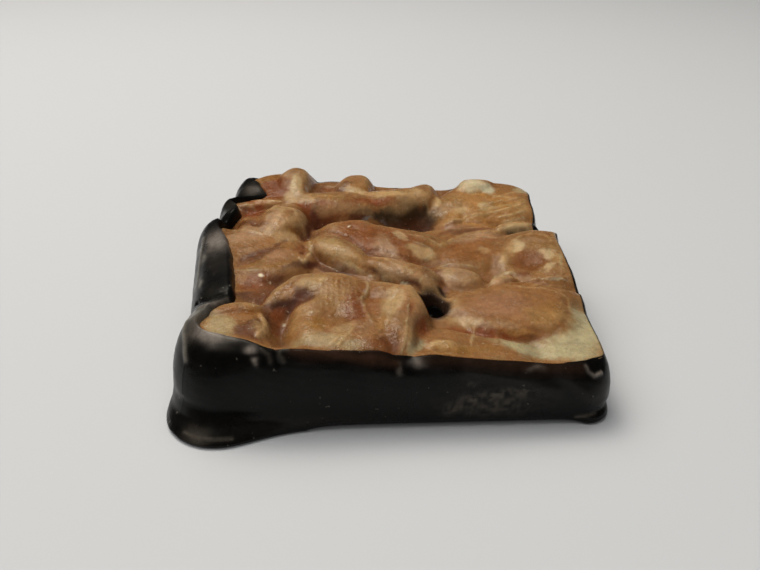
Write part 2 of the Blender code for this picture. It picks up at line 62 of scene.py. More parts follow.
# Heights
RIM_HEIGHTS = {"front_left": 15.9, "front_right": 9.9, "back_right": 13.8, "back_left": 17.6}
VALLEY_DEPTH = 2.2      # of the caramel between flakes, below the rim
FLOOR = 3.5             # chocolate under the slab
WIDEST_HEIGHT = 4.6     # where the sides stand out furthest
BLEND = 0.34            # rounding where one flake meets the next
SQUARENESS = 2.4        # of the flakes' outlines; 2 is an ellipse
SOFTNESS = 0.12         # rounding of the shoulder of a flake
EDGE_RISE, EDGE_RUN = 6.0, 2.2      # how the top climbs from its edge
VALLEY_RUN = 3.0        # how far in from the edge the valleys reach their depth
EDGE_VALLEYS = 0.6      # share of their depth that they keep at the sides and back
FRONT_FILL = 9.0        # how far in from the front the valleys are filled
# Unevenness of the valley floors: size, radians per mm across and along
VALLEY_WAVE, VALLEY_WAVE_X, VALLEY_WAVE_Y = 0.3, 0.5, 0.42
# How the flakes' outlines wander, slowly and quickly: size, radians per mm, start or skew in each direction
SWAY, SWAY_X, SWAY_Y, SWAY_START_X, SWAY_START_Y = 0.5, 0.46, 0.42, 0.7, 1.9
RIPPLE, RIPPLE_X, RIPPLE_Y, RIPPLE_SKEW_X, RIPPLE_SKEW_Y = 0.12, 0.95, 0.90, -0.4, 0.5

# Dips in the left rim between the lobes: y, depth, half width
NOTCHES = ((-18.2, 2.0, 2.0), (13.0, 2.2, 1.4), (24.6, 1.9, 1.9))
# How far the chocolate laps over the left of the top: y, width
LEFT_LAPS = ((-34.0, 4.2), (-25.0, 4.4), (-17.5, 8.8), (-5.0, 6.6), (3.0, 4.2), (9.0, 1.6), (12.0, 1.6),
             (14.5, 4.6), (18.4, 4.8), (20.4, 0.4), (21.6, 0.4), (22.6, 11.0), (25.5, 8.2), (30.0, 6.4),
             (36.0, 4.6))
FRONT_LAP, RIGHT_LAP, BACK_LAP = 2.1, 0.6, 2.2
# Where the lap is wider: x, y, extra width, half width
WIDE_LAPS = ((-28.0, -33.5, 2.9, 6.5), (33.0, -30.0, 1.4, 4.0), (31.0, 17.2, 2.4, 2.6))
PLAIN_LAP = 3.6         # lap beyond which the foot of the slab reaches out under it
FOOT_SHARE = 0.75       # of the rest of the lap
# The lap and the caramel line are each evened over the length of a side divided by this
LAP_EVENING, LINE_EVENING = 24, 34
# Waves of the front rim: x, height, half width
RIM_WAVES = ((0.2, -1.3, 2.5), (6.0, 0.5, 2.5), (16.0, -0.3, 5.0), (-20.0, -0.3, 2.0), (24.0, -0.5, 4.5),
             (-5.5, -0.6, 4.0), (-22.0, 0.5, 2.6))
WAVE_RUN, NOTCH_RUN = 6.0, 8.0      # how far the waves and the notches reach in over the top
# Dips of the rim at the back: x, y, depth, half width
RIM_DIPS = ((11.4, 36.0, 0.2, 4.2), (1.5, 36.0, 0.5, 3.5))
# Corners whose shoulder is rounder than the rest: x, y, amount, half width
SOFT_CORNERS = ((-35.0, -30.0, 0.40, 11.0), (34.0, -27.0, 0.32, 10.0))
# Feet where chocolate pooled as it set: x, y, reach, half width
FEET = ((-28.4, -33.2, 4.1, 9.3), (32.2, -30.9, 0.65, 3.6))
FOOT_RESTS = 0.4        # reach at which a foot touches the table
FOOT_FULLNESS = 0.6     # share of the inset of the base that a foot fills
# Waist above the right foot: x, y, depth, half width, height, half height
WAIST = (33.6, -29.6, 0.7, 5.0, 2.2, 0.7)
BASE_LIFT = 0.3         # of the bottom edge between the feet

# Hole in the slab through which chocolate shows: x, y, half width, half length, turn in degrees
WELL = (6.2, -13.3, 2.3, 3.0, 4.0)
WELL_LOW, WELL_HIGH = 5.6, 8.8      # chocolate at the near and the far side of the well
MOUTH_HEIGHT, MOUTH_RISE, MOUTH_BLEND = 9.8, 10.0, 0.25     # of the caramel round the well
# Shaft of the well: share of the well's size within which it drops, its bottom, its slope
SHAFT_SHARE, SHAFT_BOTTOM, SHAFT_SLOPE = 1.15, 4.0, 60
WELL_SIDES, WELL_ROWS = 64, 14      # of the post of chocolate in it
POST_MARGIN = 1.04      # size of the post, as a share of the well's
POST_LEAN = 0.4         # turn of its high side, in radians
POST_BRIM = 0.5         # rise of its top at the wall

# Lip of the chocolate on the caramel: how far in it lies, and its waves as (size, length)
TUCK, TUCK_WAVES, TUCK_STRETCH = 0.42, ((0.16, 3.4), (0.08, 1.2)), 0.8
LIP_DIP = 0.25          # of its edge into the caramel
LIP_RISE, LIP_RUN = 0.1, 0.9        # how far the chocolate rises past its lip, and over what distance
LEFT_RISE, LEFT_LEVEL = 0.6, 0.9    # its further rise down the left side, and share of dips filled there
SHOULDER_RINGS, RING_GROWTH = 39, 0.8       # from the lip to the widest line, and how they crowd
OUTWARD, DOWNWARD = 0.92, 0.66      # powers of the curve of the shoulder
LEFT_SQUARE = 0.05      # taken off them down the left side
# Side under the widest line: height, distance out from that line, share of the foot's reach
BASE_PROFILE = ((0.1, -1.3, 1.0), (0.6, -0.5, 1.0), (1.4, -0.25, 0.74), (2.4, -0.1, 0.30), (4.6, 0.0, 0.0))
BASE_LEVELS = (4.0, 3.4, 2.9, 2.4, 2.1, 1.8, 1.6, 1.4, 1.2, 1.0, 0.8, 0.6, 0.4, 0.25, 0.1)
BASE_HEIGHT = 3.0       # below which the bottom edge lifts
BASE_INSET = 5.0        # of the flat base

# Edge of the slab under the thin rim at the right: x over which the rim thins, chocolate kept outside
# the slab, depth of the edge and over what distance it is reached, depth of its last row
THIN_SIDE, THIN_RIM = (24.0, 29.0), 0.74
THIN_SINK, THIN_SINK_RUN, LAST_ROW_SINK = 0.15, (0.6, 0.3), 0.55
# Fine relief of the caramel as (size, length), and how far in from the edge it reaches its height
WAXY_WAVES, FINE_WAVES, FINE_RUN = ((0.12, 4.3), (0.04, 1.7)), ((0.012, 0.6),), 1.5
# Unevenness of the chocolate as (size, length), and the heights over which it starts above the base
SWELL, DIMPLE, SWELL_START = (0.10, 7.0), (0.03, 2.5), (1.6, 2.6)

# Shift of places that makes patches and lines waver, as (size, length) of two layers of noise
PATCH_SHIFT = ((0.7, 3.4), (0.3, 1.1))
LINE_SHIFT = ((0.12, 0.8), (0.16, 3.0))
SHIFT_APART = 40        # between the noise for the two directions
LINE_STRENGTH, LINE_PATCHINESS, LINE_PATCH = 0.62, 0.6, 1.3     # mean, change and length of the change
PATCH_EDGE = 1.3, 0.55  # share of a patch's size at which it starts and is full
SPOT_SHIFT = (0.5, 2.6), (0.4, 2.2)         # of the marks on the chocolate, along and up
SPOT_EDGE = 0.85        # half width of a spot as a share of its size
DUST_COVER, DUST_FINE, DUST_LENGTHS = (-0.8, 0.8), 0.8, (1.3, 0.7)

# Almond flakes: x, y, half length, half width, turn in degrees, top, rise to the right,
# rise to the back, crown, steepness of the flank
FLAKES = {
    "nub": (-25.2, -25.2, 5.8, 5.0, -64, 14.6, -0.01, 0.04, 0.4, 1.5),
    "nub_back": (-26.6, -21.0, 4.9, 1.3, 3, 15.2, -0.02, 0.0, 0.2, 1.6),
    "nub_tip": (-21.4, -25.4, 1.5, 3.2, 10, 14.3, 0.0, 0.0, 0.5, 2.4),
    "front_face": (-8.2, -22.4, 8.6, 10.4, 4, 14.7, -0.02, 0.12, 0.1, 1.9),
    "front_crest": (-11.2, -13.4, 5.4, 3.2, -6, 16.1, -0.05, 0.08, 0.3, 1.6),
    "front_arm": (-18.6, -15.8, 6.4, 1.9, 58, 15.0, 0.02, 0.06, 0.3, 1.4),
    "face_top": (-11.4, -17.0, 5.8, 5.2, 0, 15.6, -0.03, 0.14, 0.1, 1.7),
    "front_brow": (-3.6, -14.2, 5.0, 2.4, -4, 15.4, 0.02, 0.05, 0.3, 1.8),
    "tooth": (1.2, -21.6, 2.3, 7.7, -6, 14.6, -0.03, 0.18, 0.5, 2.3),
    "tooth_left": (-1.2, -19.8, 3.1, 6.3, -20, 14.4, 0.18, 0.16, 0.2, 1.9),
    "tooth_right": (2.7, -23.0, 2.0, 6.2, -3, 12.5, -0.3, 0.12, 0.2, 1.8),
    "plateau": (19.9, -14.4, 11.5, 7.8, -7, 11.8, -0.02, 0.04, 0.4, 2.4),
    "plateau_back": (24.0, -9.0, 7.4, 2.7, -6, 11.9, -0.02, 0.00, 0.4, 1.5),
    "shelf": (11.6, -25.2, 9.0, 3.3, -8, 11.0, -0.05, 0.06, 0.4, 1.2),
    "shelf_knob": (7.4, -26.8, 3.2, 1.8, -16, 11.5, -0.02, 0.00, 0.6, 1.1),
    "corner": (28.2, -21.4, 5.4, 10.4, 6, 10.2, -0.02, 0.05, 0.2, 1.2),
    "left_lower": (-22.4, -3.6, 8.4, 4.8, 56, 14.9, 0.01, 0.08, 0.5, 1.5),
    "left_upper": (-26.4, 2.6, 8.4, 6.8, 24, 15.6, 0.0, 0.09, 0.3, 1.5),
    "cup": (-16.8, 2.2, 1.6, 3.2, 12, 14.6, 0.05, 0.02, 0.2, 1.7),
    "dome": (-21.8, 12.4, 6.6, 3.4, 66, 17.5, 0.02, 0.1, 0.5, 1.8),
    "dome_slope": (-25.0, 11.0, 4.6, 5.8, 0, 16.7, 0.05, 0.08, 0.2, 1.3),
    "saddle": (-28.2, 17.4, 4.4, 5.2, 0, 14.7, 0.02, 0.14, 0.0, 1.5),
    "fringe": (-27.4, 21.4, 5.6, 1.5, 4, 16.1, 0.02, 0.05, 0.4, 1.8),
    "back_slab": (-25.6, 27.8, 6.6, 5.8, 4, 17.3, 0.1, 0.18, 0.2, 1.6),
    "back_peak": (-20.9, 28.8, 5.0, 2.7, 86, 18.4, 0.0, 0.22, 0.5, 1.7),
    "back_dip": (-14.4, 32.0, 4.2, 4.0, 0, 15.4, 0.00, 0.03, 0.2, 1.6),
    "back_bump": (-8.4, 31.0, 3.5, 4.6, 0, 16.3, 0.0, 0.16, 0.9, 1.4),
    "log_left": (-14.0, 22.6, 8.4, 3.8, 5, 16.5, -0.03, 0.09, 0.4, 1.5),
    "log_right": (0.2, 27.2, 9.4, 3.6, 18, 15.4, -0.02, 0.05, 0.7, 2.2),
    "log_end": (6.6, 29.6, 2.4, 3.6, -20, 15.4, -0.04, 0.1, 0.6, 1.8),
    "middle": (-2.0, 8.2, 12.4, 5.9, -15, 14.1, -0.05, 0.10, 0.6, 1.6),
    "middle_peak": (-8.8, 13.2, 4.8, 3.4, 4, 14.9, 0.00, 0.05, 0.5, 1.4),
    "sausage": (-10.8, 2.6, 6.9, 3.0, -41, 15.1, 0.0, 0.0, 0.9, 1.8),
    "tongue": (0.6, -3.9, 7.2, 2.9, -31, 13.8, -0.05, 0.0, 0.9, 1.9),
    "oval": (10.8, -3.6, 3.9, 2.6, -6, 12.3, 0.0, 0.08, 0.4, 1.5),
    "right_middle": (15.4, 6.6, 8.8, 6.0, 30, 12.5, 0.00, 0.07, 0.4, 1.5),
    "strip": (13.2, 13.6, 8.0, 3.4, 12, 12.4, -0.02, 0.10, 0.2, 1.5),
    "right_lobe": (26.9, 3.8, 8.4, 10.0, -6, 12.9, 0.04, 0.16, 0.6, 1.7),
    "knob": (19.0, -4.8, 2.4, 1.6, 30, 11.6, 0.00, 0.00, 0.7, 1.2),
    "back_right": (20.9, 28.2, 10.1, 8.5, -5, 14.3, 0.01, 0.17, 0.3, 1.8),
    "back_lump": (18.2, 34.0, 3.4, 3.2, 0, 15.8, -0.03, 0.02, 0.6, 1.6),
    "back_join": (10.8, 24.4, 3.0, 4.6, -4, 13.4, 0.06, 0.14, 0.1, 1.3),
    "fragment": (24.8, 17.8, 3.8, 1.6, 28, 12.6, 0.02, 0.0, 0.4, 2.2),
}
# Hollows in the tops: x, y, half length, half width, turn in degrees, depth
HOLLOWS = {
    "lobe_middle": (25.0, 0.8, 4.2, 3.0, 20, 0.9),
    "face_middle": (-9.4, -21.6, 3.4, 4.4, 0, 0.8),
    "red_valley": (-17.5, -18.7, 4.8, 2.0, 32, 1.3),
    "amber_valley": (-18.2, -25.6, 2.9, 5.2, 2, 1.1),
    "rib_valley": (-4.6, -18.0, 1.6, 4.0, -6, 0.5),
    "saddle_middle": (-27.6, 15.0, 4.0, 2.8, 0, 0.7),
    "back_pit": (0.6, 21.0, 9.4, 3.2, 14, 2.4),
    "deep_gap": (-15.6, 17.2, 5.6, 2.6, -6, 2.6),
    "pink_valley": (-12.8, -6.6, 5.6, 2.0, -30, 0.8),
    "tongue_under": (-0.6, -9.4, 4.8, 1.8, -20, 1.2),
    "right_gap": (27.6, 15.0, 5.4, 1.4, 20, 4.5),
    "pit_right": (6.2, 21.8, 3.4, 2.4, 10, 2.2),
    "pit_near": (5.0, 19.0, 4.6, 2.4, -8, 2.0),
}

CONTRAST = 1.22         # between the patches of tone on the caramel
# Shading of the caramel by its relief, laid into its colour: redder in the hollows and paler on the crests,
# partly the caramel's own tone and partly painted shade and highlight: tone, strength, heights above the
# averaged surface at which it starts and is full, passes of averaging
RELIEF_SHADES = (("red", 0.75, -0.3, -2.6, 500), ("pale", 0.55, 0.03, 0.40, 40))
# Painted shade darkens the caramel round the mouth of the well and down its shaft
WELL_SHADE = 1.65, 1.15             # share of the well's size at which the dark starts and is full
BURIED = 0.05           # brightness of the slab's foot inside the chocolate
# Tones of the caramel and the almonds, of the chocolate, and of painted glints, sheens, reflections and
# shade, in display values
PALETTE = {
    "base": (141, 98, 57), "tan": (151, 111, 65), "pale": (181, 145, 99), "cream": (166, 145, 106),
    "yellow": (166, 130, 83), "blush": (159, 120, 84), "pink": (153, 111, 82), "brown": (119, 72, 35),
    "brown2": (146, 101, 59), "ochre": (142, 100, 51), "ochre2": (136, 87, 44), "russet": (124, 70, 36),
    "amber": (131, 70, 33), "red": (86, 44, 24), "umber": (78, 42, 23), "olive": (76, 55, 33),
    # Of the next line, the near black tone is painted shade in pits, under edges and down the well, and the
    # whitish and greyish ones are painted glints
    "moss": (103, 86, 59), "shade_black": (44, 27, 17), "glint_grey": (126, 113, 100), "glint_white": (225, 205, 168),
    "rose": (141, 98, 73), "honey": (158, 112, 62),
    "sand": (171, 136, 93), "straw": (188, 157, 113), "clay": (128, 84, 52), "rust": (110, 62, 32),
    "wood": (97, 56, 30), "milk": (190, 172, 136),
    "hay": (154, 126, 86), "oat": (143, 107, 66), "bark": (104, 60, 29), "toast": (133, 86, 42),
    "ginger": (124, 67, 29),
    # Chocolate: its own near black, brown and dust, and lighter greys that are painted sheens and
    # reflections
    "night": (8, 7, 6), "cocoa": (46, 30, 21), "faint": (36, 33, 29), "dust": (72, 66, 58),
    "soft_sheen": (84, 77, 69), "grey_reflection": (120, 115, 106), "sheen": (134, 124, 115),
}
# Patches of colour on the caramel: the caramel's and almonds' own tones, with painted highlights (glints,
# shines, glows, pale patches on faces towards the light) and painted shade (dark patches in pits, valleys,
# under edges and on faces turned from the light): name, x, y, half length, half width, turn, tone, strength
TONES = (
    ("upper_left", -28.5, 5.4, 4.8, 4.0, 10, "blush", 0.8),
    ("lower_left", -21.8, -3.3, 5.7, 2.9, 57, "ochre", 0.85),
    ("slab_left", -25.1, 26.7, 4.8, 3.3, -74, "ginger", 0.9),
    ("slab_edge", -27.6, 30.2, 4.7, 1.5, 13, "ochre", 0.6),
    ("peak_band", -20.4, 26.7, 4.1, 1.4, -86, "straw", 0.9),
    ("peak_top", -21.6, 30.6, 2.2, 1.8, -14, "blush", 0.7),
    ("peak_right", -17.9, 28.7, 3.3, 0.7, 76, "honey", 0.7),
    ("back_dip", -14.8, 30.4, 2.9, 2.6, -24, "brown", 0.8),
    ("dip_glint", -14.0, 31.5, 1.5, 1.0, 2, "pink", 0.6),
    ("bump_left", -10.2, 29.2, 2.5, 1.9, -76, "red", 0.7),
    ("bump_face", -7.6, 29.1, 2.2, 1.8, 59, "honey", 0.8),
    ("bump_right", -4.9, 31.0, 4.0, 0.9, 70, "honey", 0.6),
    ("fringe", -27.9, 20.8, 4.5, 1.0, 1, "brown2", 0.8),
    ("fringe_streak", -30.1, 19.9, 1.6, 0.8, -77, "milk", 0.7),
    ("saddle", -28.3, 18.6, 6.3, 2.4, -81, "amber", 1.0),
    ("saddle_dark", -30.8, 17.8, 4.2, 0.7, -89, "rust", 0.7),
    ("dome_left", -23.4, 9.2, 4.8, 1.8, 81, "blush", 0.85),
    ("dome_top", -23.3, 14.9, 3.1, 1.4, -40, "pale", 0.5),
    ("dome_right", -19.6, 9.0, 2.6, 1.8, -83, "ochre", 0.8),
    ("dome_foot", -20.6, 5.3, 2.9, 2.3, 10, "sand", 0.6),
    ("log_tip", -21.4, 23.1, 1.7, 1.3, -50, "sand", 0.8),
    ("log_crest_l", -14.7, 22.8, 5.0, 1.5, -2, "ochre", 0.8),
    ("log_glow", -7.8, 27.9, 2.3, 1.2, 1, "pale", 0.8),
    ("log_crest_r", 1.1, 27.1, 5.7, 1.7, 14, "tan", 0.8),
    # The log's face, turned from the light, darker with painted shade
    ("log_face_l", -14.6, 19.9, 6.1, 1.4, 4, "amber", 0.9),
    ("log_face_low", -15.3, 18.1, 3.6, 0.9, 4, "russet", 1.0),
    ("log_face_r", -1.0, 24.2, 6.8, 1.0, 9, "amber", 0.8),
    ("pit_back", 0.2, 22.6, 8.8, 0.8, 17, "olive", 1.0),
    ("pit_back_l", -7.2, 20.0, 3.1, 0.8, 31, "red", 0.8),
    ("pit_back_r", 6.0, 24.9, 2.8, 1.3, 7, "umber", 1.0),
    ("pit_shine", 2.4, 23.2, 5.5, 0.3, 20, "moss", 0.6),
    ("log_end", 8.2, 27.2, 1.9, 1.2, 85, "brown2", 0.8),
    ("fold_red", -24.0, -1.8, 4.7, 1.5, 35, "red", 0.6),
    ("lower_shine", -20.7, -2.5, 3.4, 1.6, 52, "pink", 0.5),
    ("lower_dark", -23.7, -10.1, 3.6, 1.9, 41, "russet", 0.8),
    ("rough", -23.2, -14.0, 4.3, 1.6, 16, "umber", 0.8),
    ("glint_patch", -23.3, -8.9, 0.5, 0.3, 6, "glint_white", 0.8),
    ("valley_glints", -21.3, -10.0, 3.4, 1.4, 59, "wood", 0.9),
    ("cup_inner", -17.2, 0.4, 2.7, 0.9, -89, "russet", 0.7),
    ("middle", -2.1, 6.4, 9.9, 4.8, -23, "ginger", 0.65),
    ("middle_top", -8.6, 13.5, 3.8, 2.4, -25, "russet", 0.5),
    ("pale_mark", 5.0, 3.9, 3.1, 1.6, -23, "pale", 0.8),
    ("mark_streak", 1.1, 8.4, 2.1, 1.2, -67, "straw", 0.6),
    ("mark_edge", 8.0, 6.9, 1.6, 1.0, -48, "tan", 0.6),
    ("sausage", -10.9, 0.8, 5.5, 1.9, -46, "yellow", 0.85),
    ("sausage_end", -7.0, -2.2, 1.8, 1.2, -26, "honey", 0.7),
    ("sausage_low", -10.3, -2.1, 3.9, 0.3, -30, "honey", 0.7),
    ("tongue_crest", -0.8, 1.7, 7.7, 2.0, -74, "blush", 0.85),
    ("tongue_low", 0.8, -7.0, 5.1, 0.7, -21, "red", 0.9),
    ("tongue_end", 6.7, -5.9, 4.6, 1.9, 73, "bark", 1.0),
    ("valley_dark", -16.5, -3.6, 4.3, 1.0, 41, "red", 0.95),
    ("valley_pink", -9.0, -2.6, 3.0, 0.4, -16, "straw", 0.8),
    ("valley_low", -2.7, -5.4, 2.2, 0.5, -41, "umber", 0.8),
    ("face_crest", -14.0, -13.8, 2.7, 1.9, 16, "yellow", 0.8),
    ("face_arm", -21.2, -16.0, 3.5, 1.8, -67, "bark", 0.9),
    ("face", -10.0, -17.6, 4.2, 3.1, 8, "tan", 0.7),
    ("hollow_right", -6.6, -19.7, 4.6, 2.2, -90, "ginger", 0.8),
    ("tooth_foot", -4.3, -17.7, 4.9, 1.3, -79, "ochre2", 0.9),
    ("face_hollow", -12.9, -25.3, 2.3, 2.1, 81, "ochre", 0.9),
    ("face_band", -11.0, -28.7, 6.1, 1.6, -8, "hay", 0.9),
    ("face_low_right", -2.7, -29.2, 2.9, 1.9, -0, "brown", 0.9),
    ("red_valley", -20.2, -20.2, 2.4, 1.4, 67, "umber", 0.9),
    ("valley_blush", -20.7, -20.1, 0.9, 0.5, 64, "pink", 0.5),
    ("valley_amber", -18.3, -23.8, 3.6, 2.2, -80, "ochre", 1.0),
    ("nub_back", -24.9, -21.6, 4.0, 1.2, 12, "toast", 1.0),
    ("nub_pale", -27.1, -25.9, 3.8, 2.3, -60, "hay", 1.0),
    ("nub_right", -22.8, -27.2, 2.4, 2.0, -81, "wood", 0.9),
    ("nub_curl", -20.7, -24.2, 2.1, 0.5, -86, "yellow", 0.8),
    ("tooth_left", -0.6, -19.5, 5.0, 1.7, 79, "sand", 0.9),
    ("tooth_tip", 1.7, -8.1, 1.1, 0.4, -14, "milk", 0.8),
    ("tooth_right", 3.3, -21.7, 2.5, 1.7, -87, "amber", 0.9),
    ("tooth_low_left", -1.3, -27.9, 1.9, 1.8, 72, "bark", 0.8),
    ("tooth_pink", 2.8, -27.7, 2.7, 1.0, 70, "cream", 0.9),
    # The pit's mouth and wall: painted shade
    ("pit_front", 6.7, -10.1, 2.7, 0.9, -17, "shade_black", 1.0),
    ("pit_wall", 6.9, -9.3, 2.4, 0.9, 17, "shade_black", 0.9),
    ("oval", 11.1, -4.3, 3.8, 2.7, -12, "blush", 1.0),
    ("right_middle", 14.4, 5.1, 5.4, 4.0, 10, "ochre2", 0.7),
    ("middle_speck", 17.1, 5.5, 1.2, 1.0, 35, "sand", 0.5),
    ("fold_band", 16.6, 11.7, 6.2, 2.4, 25, "blush", 0.85),
    ("strip", 14.1, 17.8, 6.1, 3.8, -11, "pink", 0.6),
    ("strip_line", 15.1, 20.2, 5.8, 0.8, -3, "yellow", 0.7),
    ("fragment", 24.9, 17.0, 3.5, 1.1, 19, "cream", 1.0),
    ("back_right", 18.4, 24.9, 10.5, 7.2, -3, "honey", 0.95),
    ("back_right_l", 12.6, 26.3, 3.8, 3.4, -79, "tan", 0.8),
    ("lump", 17.1, 32.0, 2.8, 2.1, -4, "straw", 1.0),
    ("lump_side", 20.8, 31.3, 2.0, 1.8, 16, "milk", 0.85),
    ("back_patch", 19.5, 25.0, 1.8, 1.3, 23, "straw", 0.7),
    ("back_left_shine", 9.3, 27.3, 1.5, 1.1, 79, "pale", 0.8),
    ("back_low", 16.0, 21.0, 6.2, 0.5, -4, "honey", 0.8),
    ("back_streak", 22.6, 24.8, 5.3, 0.6, 15, "yellow", 0.7),
    ("back_streak_2", 20.3, 22.6, 6.0, 0.3, 10, "yellow", 0.7),
    ("right_lobe", 25.9, 2.6, 6.4, 6.1, -57, "tan", 0.8),
    ("lobe_middle", 25.0, 1.6, 3.6, 3.3, 75, "brown", 0.9),
    ("lobe_spot", 23.4, 5.9, 2.1, 1.3, 64, "straw", 0.75),
    ("lobe_spot_r", 28.4, 3.1, 1.6, 1.1, 80, "straw", 0.75),
    ("lobe_top", 27.0, 7.3, 2.3, 1.1, -12, "blush", 0.7),
    ("lobe_pink", 20.2, 1.3, 1.8, 1.4, -86, "clay", 0.6),
    ("lobe_fold", 28.2, -4.3, 3.5, 0.2, -7, "milk", 0.7),
    ("knob", 19.0, -4.6, 3.1, 1.8, 52, "blush", 0.8),
    ("groove", 23.8, -6.9, 5.6, 1.1, 10, "toast", 0.6),
    ("corner", 29.8, -20.2, 8.7, 5.2, 64, "cream", 1.0),
    ("corner_front", 23.2, -25.5, 8.4, 2.1, -11, "cream", 1.0),
    ("plateau", 19.4, -15.4, 9.3, 6.6, 8, "brown2", 1.0),
    ("plateau_r", 26.0, -17.6, 4.2, 2.9, 72, "ochre", 0.7),
    ("plateau_edge", 11.4, -18.6, 2.9, 0.9, -26, "sand", 0.7),
    ("under_plateau", 14.7, -21.5, 6.4, 1.3, -8, "amber", 0.9),
    ("peak_1", 12.1, -23.0, 3.5, 0.3, 83, "pale", 0.6),
    ("peak_2", 16.0, -24.0, 2.4, 0.3, 81, "toast", 0.6),
    ("shelf_lump", 7.0, -27.1, 2.5, 0.9, -2, "yellow", 0.95),
    ("shelf_low", 10.4, -27.7, 5.1, 1.3, 9, "ochre", 0.8),
    ("shelf_edge", 15.0, -29.3, 1.6, 1.0, 19, "oat", 0.7),
    ("plateau_tail", 24.0, -20.9, 4.3, 1.5, 17, "brown", 0.8),
    ("tooth_shade", 2.4, -25.3, 3.7, 0.9, -89, "bark", 0.6),
    ("plateau_low", 24.4, -18.5, 4.1, 2.5, -48, "tan", 0.7),
    # Painted glints
    ("glint_1", -21.7, -9.5, 0.3, 0.2, 17, "glint_white", 0.8),
    ("glint_2", -8.5, 10.9, 0.3, 0.3, 5, "glint_white", 0.8),
    ("glint_3", 2.9, -6.6, 0.3, 0.2, 3, "cream", 0.8),
    ("glint_4", 4.5, -7.5, 0.4, 0.2, 8, "cream", 0.8),
    ("glint_5", -21.7, -26.2, 0.9, 0.2, 23, "cream", 0.8),
    ("glint_6", -18.3, -21.0, 0.4, 0.3, 75, "glint_white", 1.0),
    # Painted glints on the walls of the back pit and round the well
    ("pit_glint_1", -5.4, 20.4, 0.9, 0.2, 20, "glint_grey", 0.8),
    ("pit_glint_2", -1.9, 21.6, 0.9, 0.2, 24, "glint_grey", 0.6),
    ("pit_glint_3", 1.7, 22.9, 1.4, 0.2, 19, "glint_grey", 0.4),
    ("pit_glint_4", 7.1, 24.5, 0.6, 0.2, -9, "glint_grey", 0.5),
    ("pit_glint_5", 8.9, -7.7, 1.5, 0.6, 77, "pink", 0.9),
    ("pit_glint_6", 8.5, -11.4, 1.5, 0.4, 90, "honey", 0.5),
    ("log_spot_1", -3.1, 26.0, 1.3, 1.1, -8, "ochre", 0.5),
    ("log_spot_2", 2.4, 25.3, 1.9, 0.6, -5, "yellow", 0.5),
    ("log_spot_3", 5.0, 28.3, 2.1, 1.1, -88, "pale", 0.6),
    ("log_spot_4", -19.3, 23.1, 2.1, 1.0, -9, "blush", 0.6),
    ("back_spot_1", 14.6, 24.0, 1.7, 1.0, -12, "pale", 0.6),
    ("back_spot_2", 23.0, 28.2, 2.6, 0.5, -7, "sand", 0.6),
    ("back_spot_3", 27.9, 31.9, 1.8, 1.7, 71, "cream", 0.7),
    ("back_orange", 27.4, 25.4, 3.0, 1.3, 78, "yellow", 0.6),
    ("lobe_spot_3", 28.6, -1.0, 1.6, 0.9, 81, "straw", 0.6),
    ("lobe_spot_4", 30.7, 1.4, 2.3, 0.5, 79, "cream", 0.5),
    ("lobe_rim_low", 22.9, -2.0, 2.5, 0.9, -11, "rust", 0.7),
    ("groove_dark", 24.4, -4.0, 7.1, 0.2, -9, "ochre", 0.5),
    ("fold_dark", 15.4, 15.2, 5.7, 1.1, 20, "bark", 0.6),
    ("tongue_dark", -2.7, -5.3, 2.6, 0.5, -39, "umber", 0.8),
    ("mid_dark", -15.7, 17.2, 2.1, 0.7, 48, "brown", 0.6),
    ("ridge_dark", -16.1, 3.6, 2.5, 0.9, -76, "ochre", 0.6),
    # More painted shade on the log's face
    ("log_face_dark", -16.3, 14.2, 7.8, 0.9, 83, "red", 0.9),
    ("valley_dark_2", -11.7, -2.8, 3.4, 1.3, -24, "umber", 0.7),
    ("log_face_3", -8.9, 21.5, 3.5, 1.2, 21, "amber", 0.6),
    ("slab_shade", -28.3, 10.5, 4.6, 1.1, -33, "bark", 0.7),
    ("arm_dark", -22.7, -12.3, 3.8, 1.4, 64, "brown", 0.8),
    ("red_valley_2", -17.7, -17.9, 2.8, 1.5, 27, "umber", 1.0),
    ("red_valley_3", -15.3, -17.1, 2.2, 1.8, -50, "red", 0.8),
    ("face_brown", -8.1, -25.9, 2.7, 1.7, 63, "pale", 0.5),
    ("nub_dark", -22.2, -25.2, 1.5, 1.0, -90, "red", 0.8),
    ("shelf_brown", 19.9, -21.4, 3.5, 0.6, -1, "honey", 0.8),
    ("log_brown", -18.4, 13.4, 5.9, 1.8, 84, "bark", 0.7),
    ("tooth_pale", -2.2, -24.0, 2.2, 0.9, 83, "honey", 0.7),
    ("pit_low", 5.4, 23.7, 5.1, 2.8, 5, "olive", 1.0),
    ("neck", -19.0, -19.7, 2.1, 0.7, 47, "russet", 0.8),
    ("plateau_lip", 16.8, -20.2, 2.9, 0.7, 0, "blush", 0.6),
    ("lump_glow", 17.0, 32.8, 3.1, 2.4, -18, "milk", 0.7),
    ("oval_glow", 9.6, -3.4, 1.6, 1.4, -72, "sand", 0.6),
    ("plateau_mid", 17.5, -14.6, 5.2, 3.9, 15, "pink", 0.5),
    ("lobe_pale", 20.5, 1.3, 1.4, 0.9, 76, "sand", 0.6),
    ("valley_low_2", -19.3, -22.6, 2.4, 1.5, 81, "russet", 0.7),
    ("log_glow_2", -1.9, 26.9, 6.4, 1.4, 6, "pale", 0.6),
    ("log_glow_3", -19.2, 22.0, 3.8, 1.1, -10, "sand", 0.6),
)
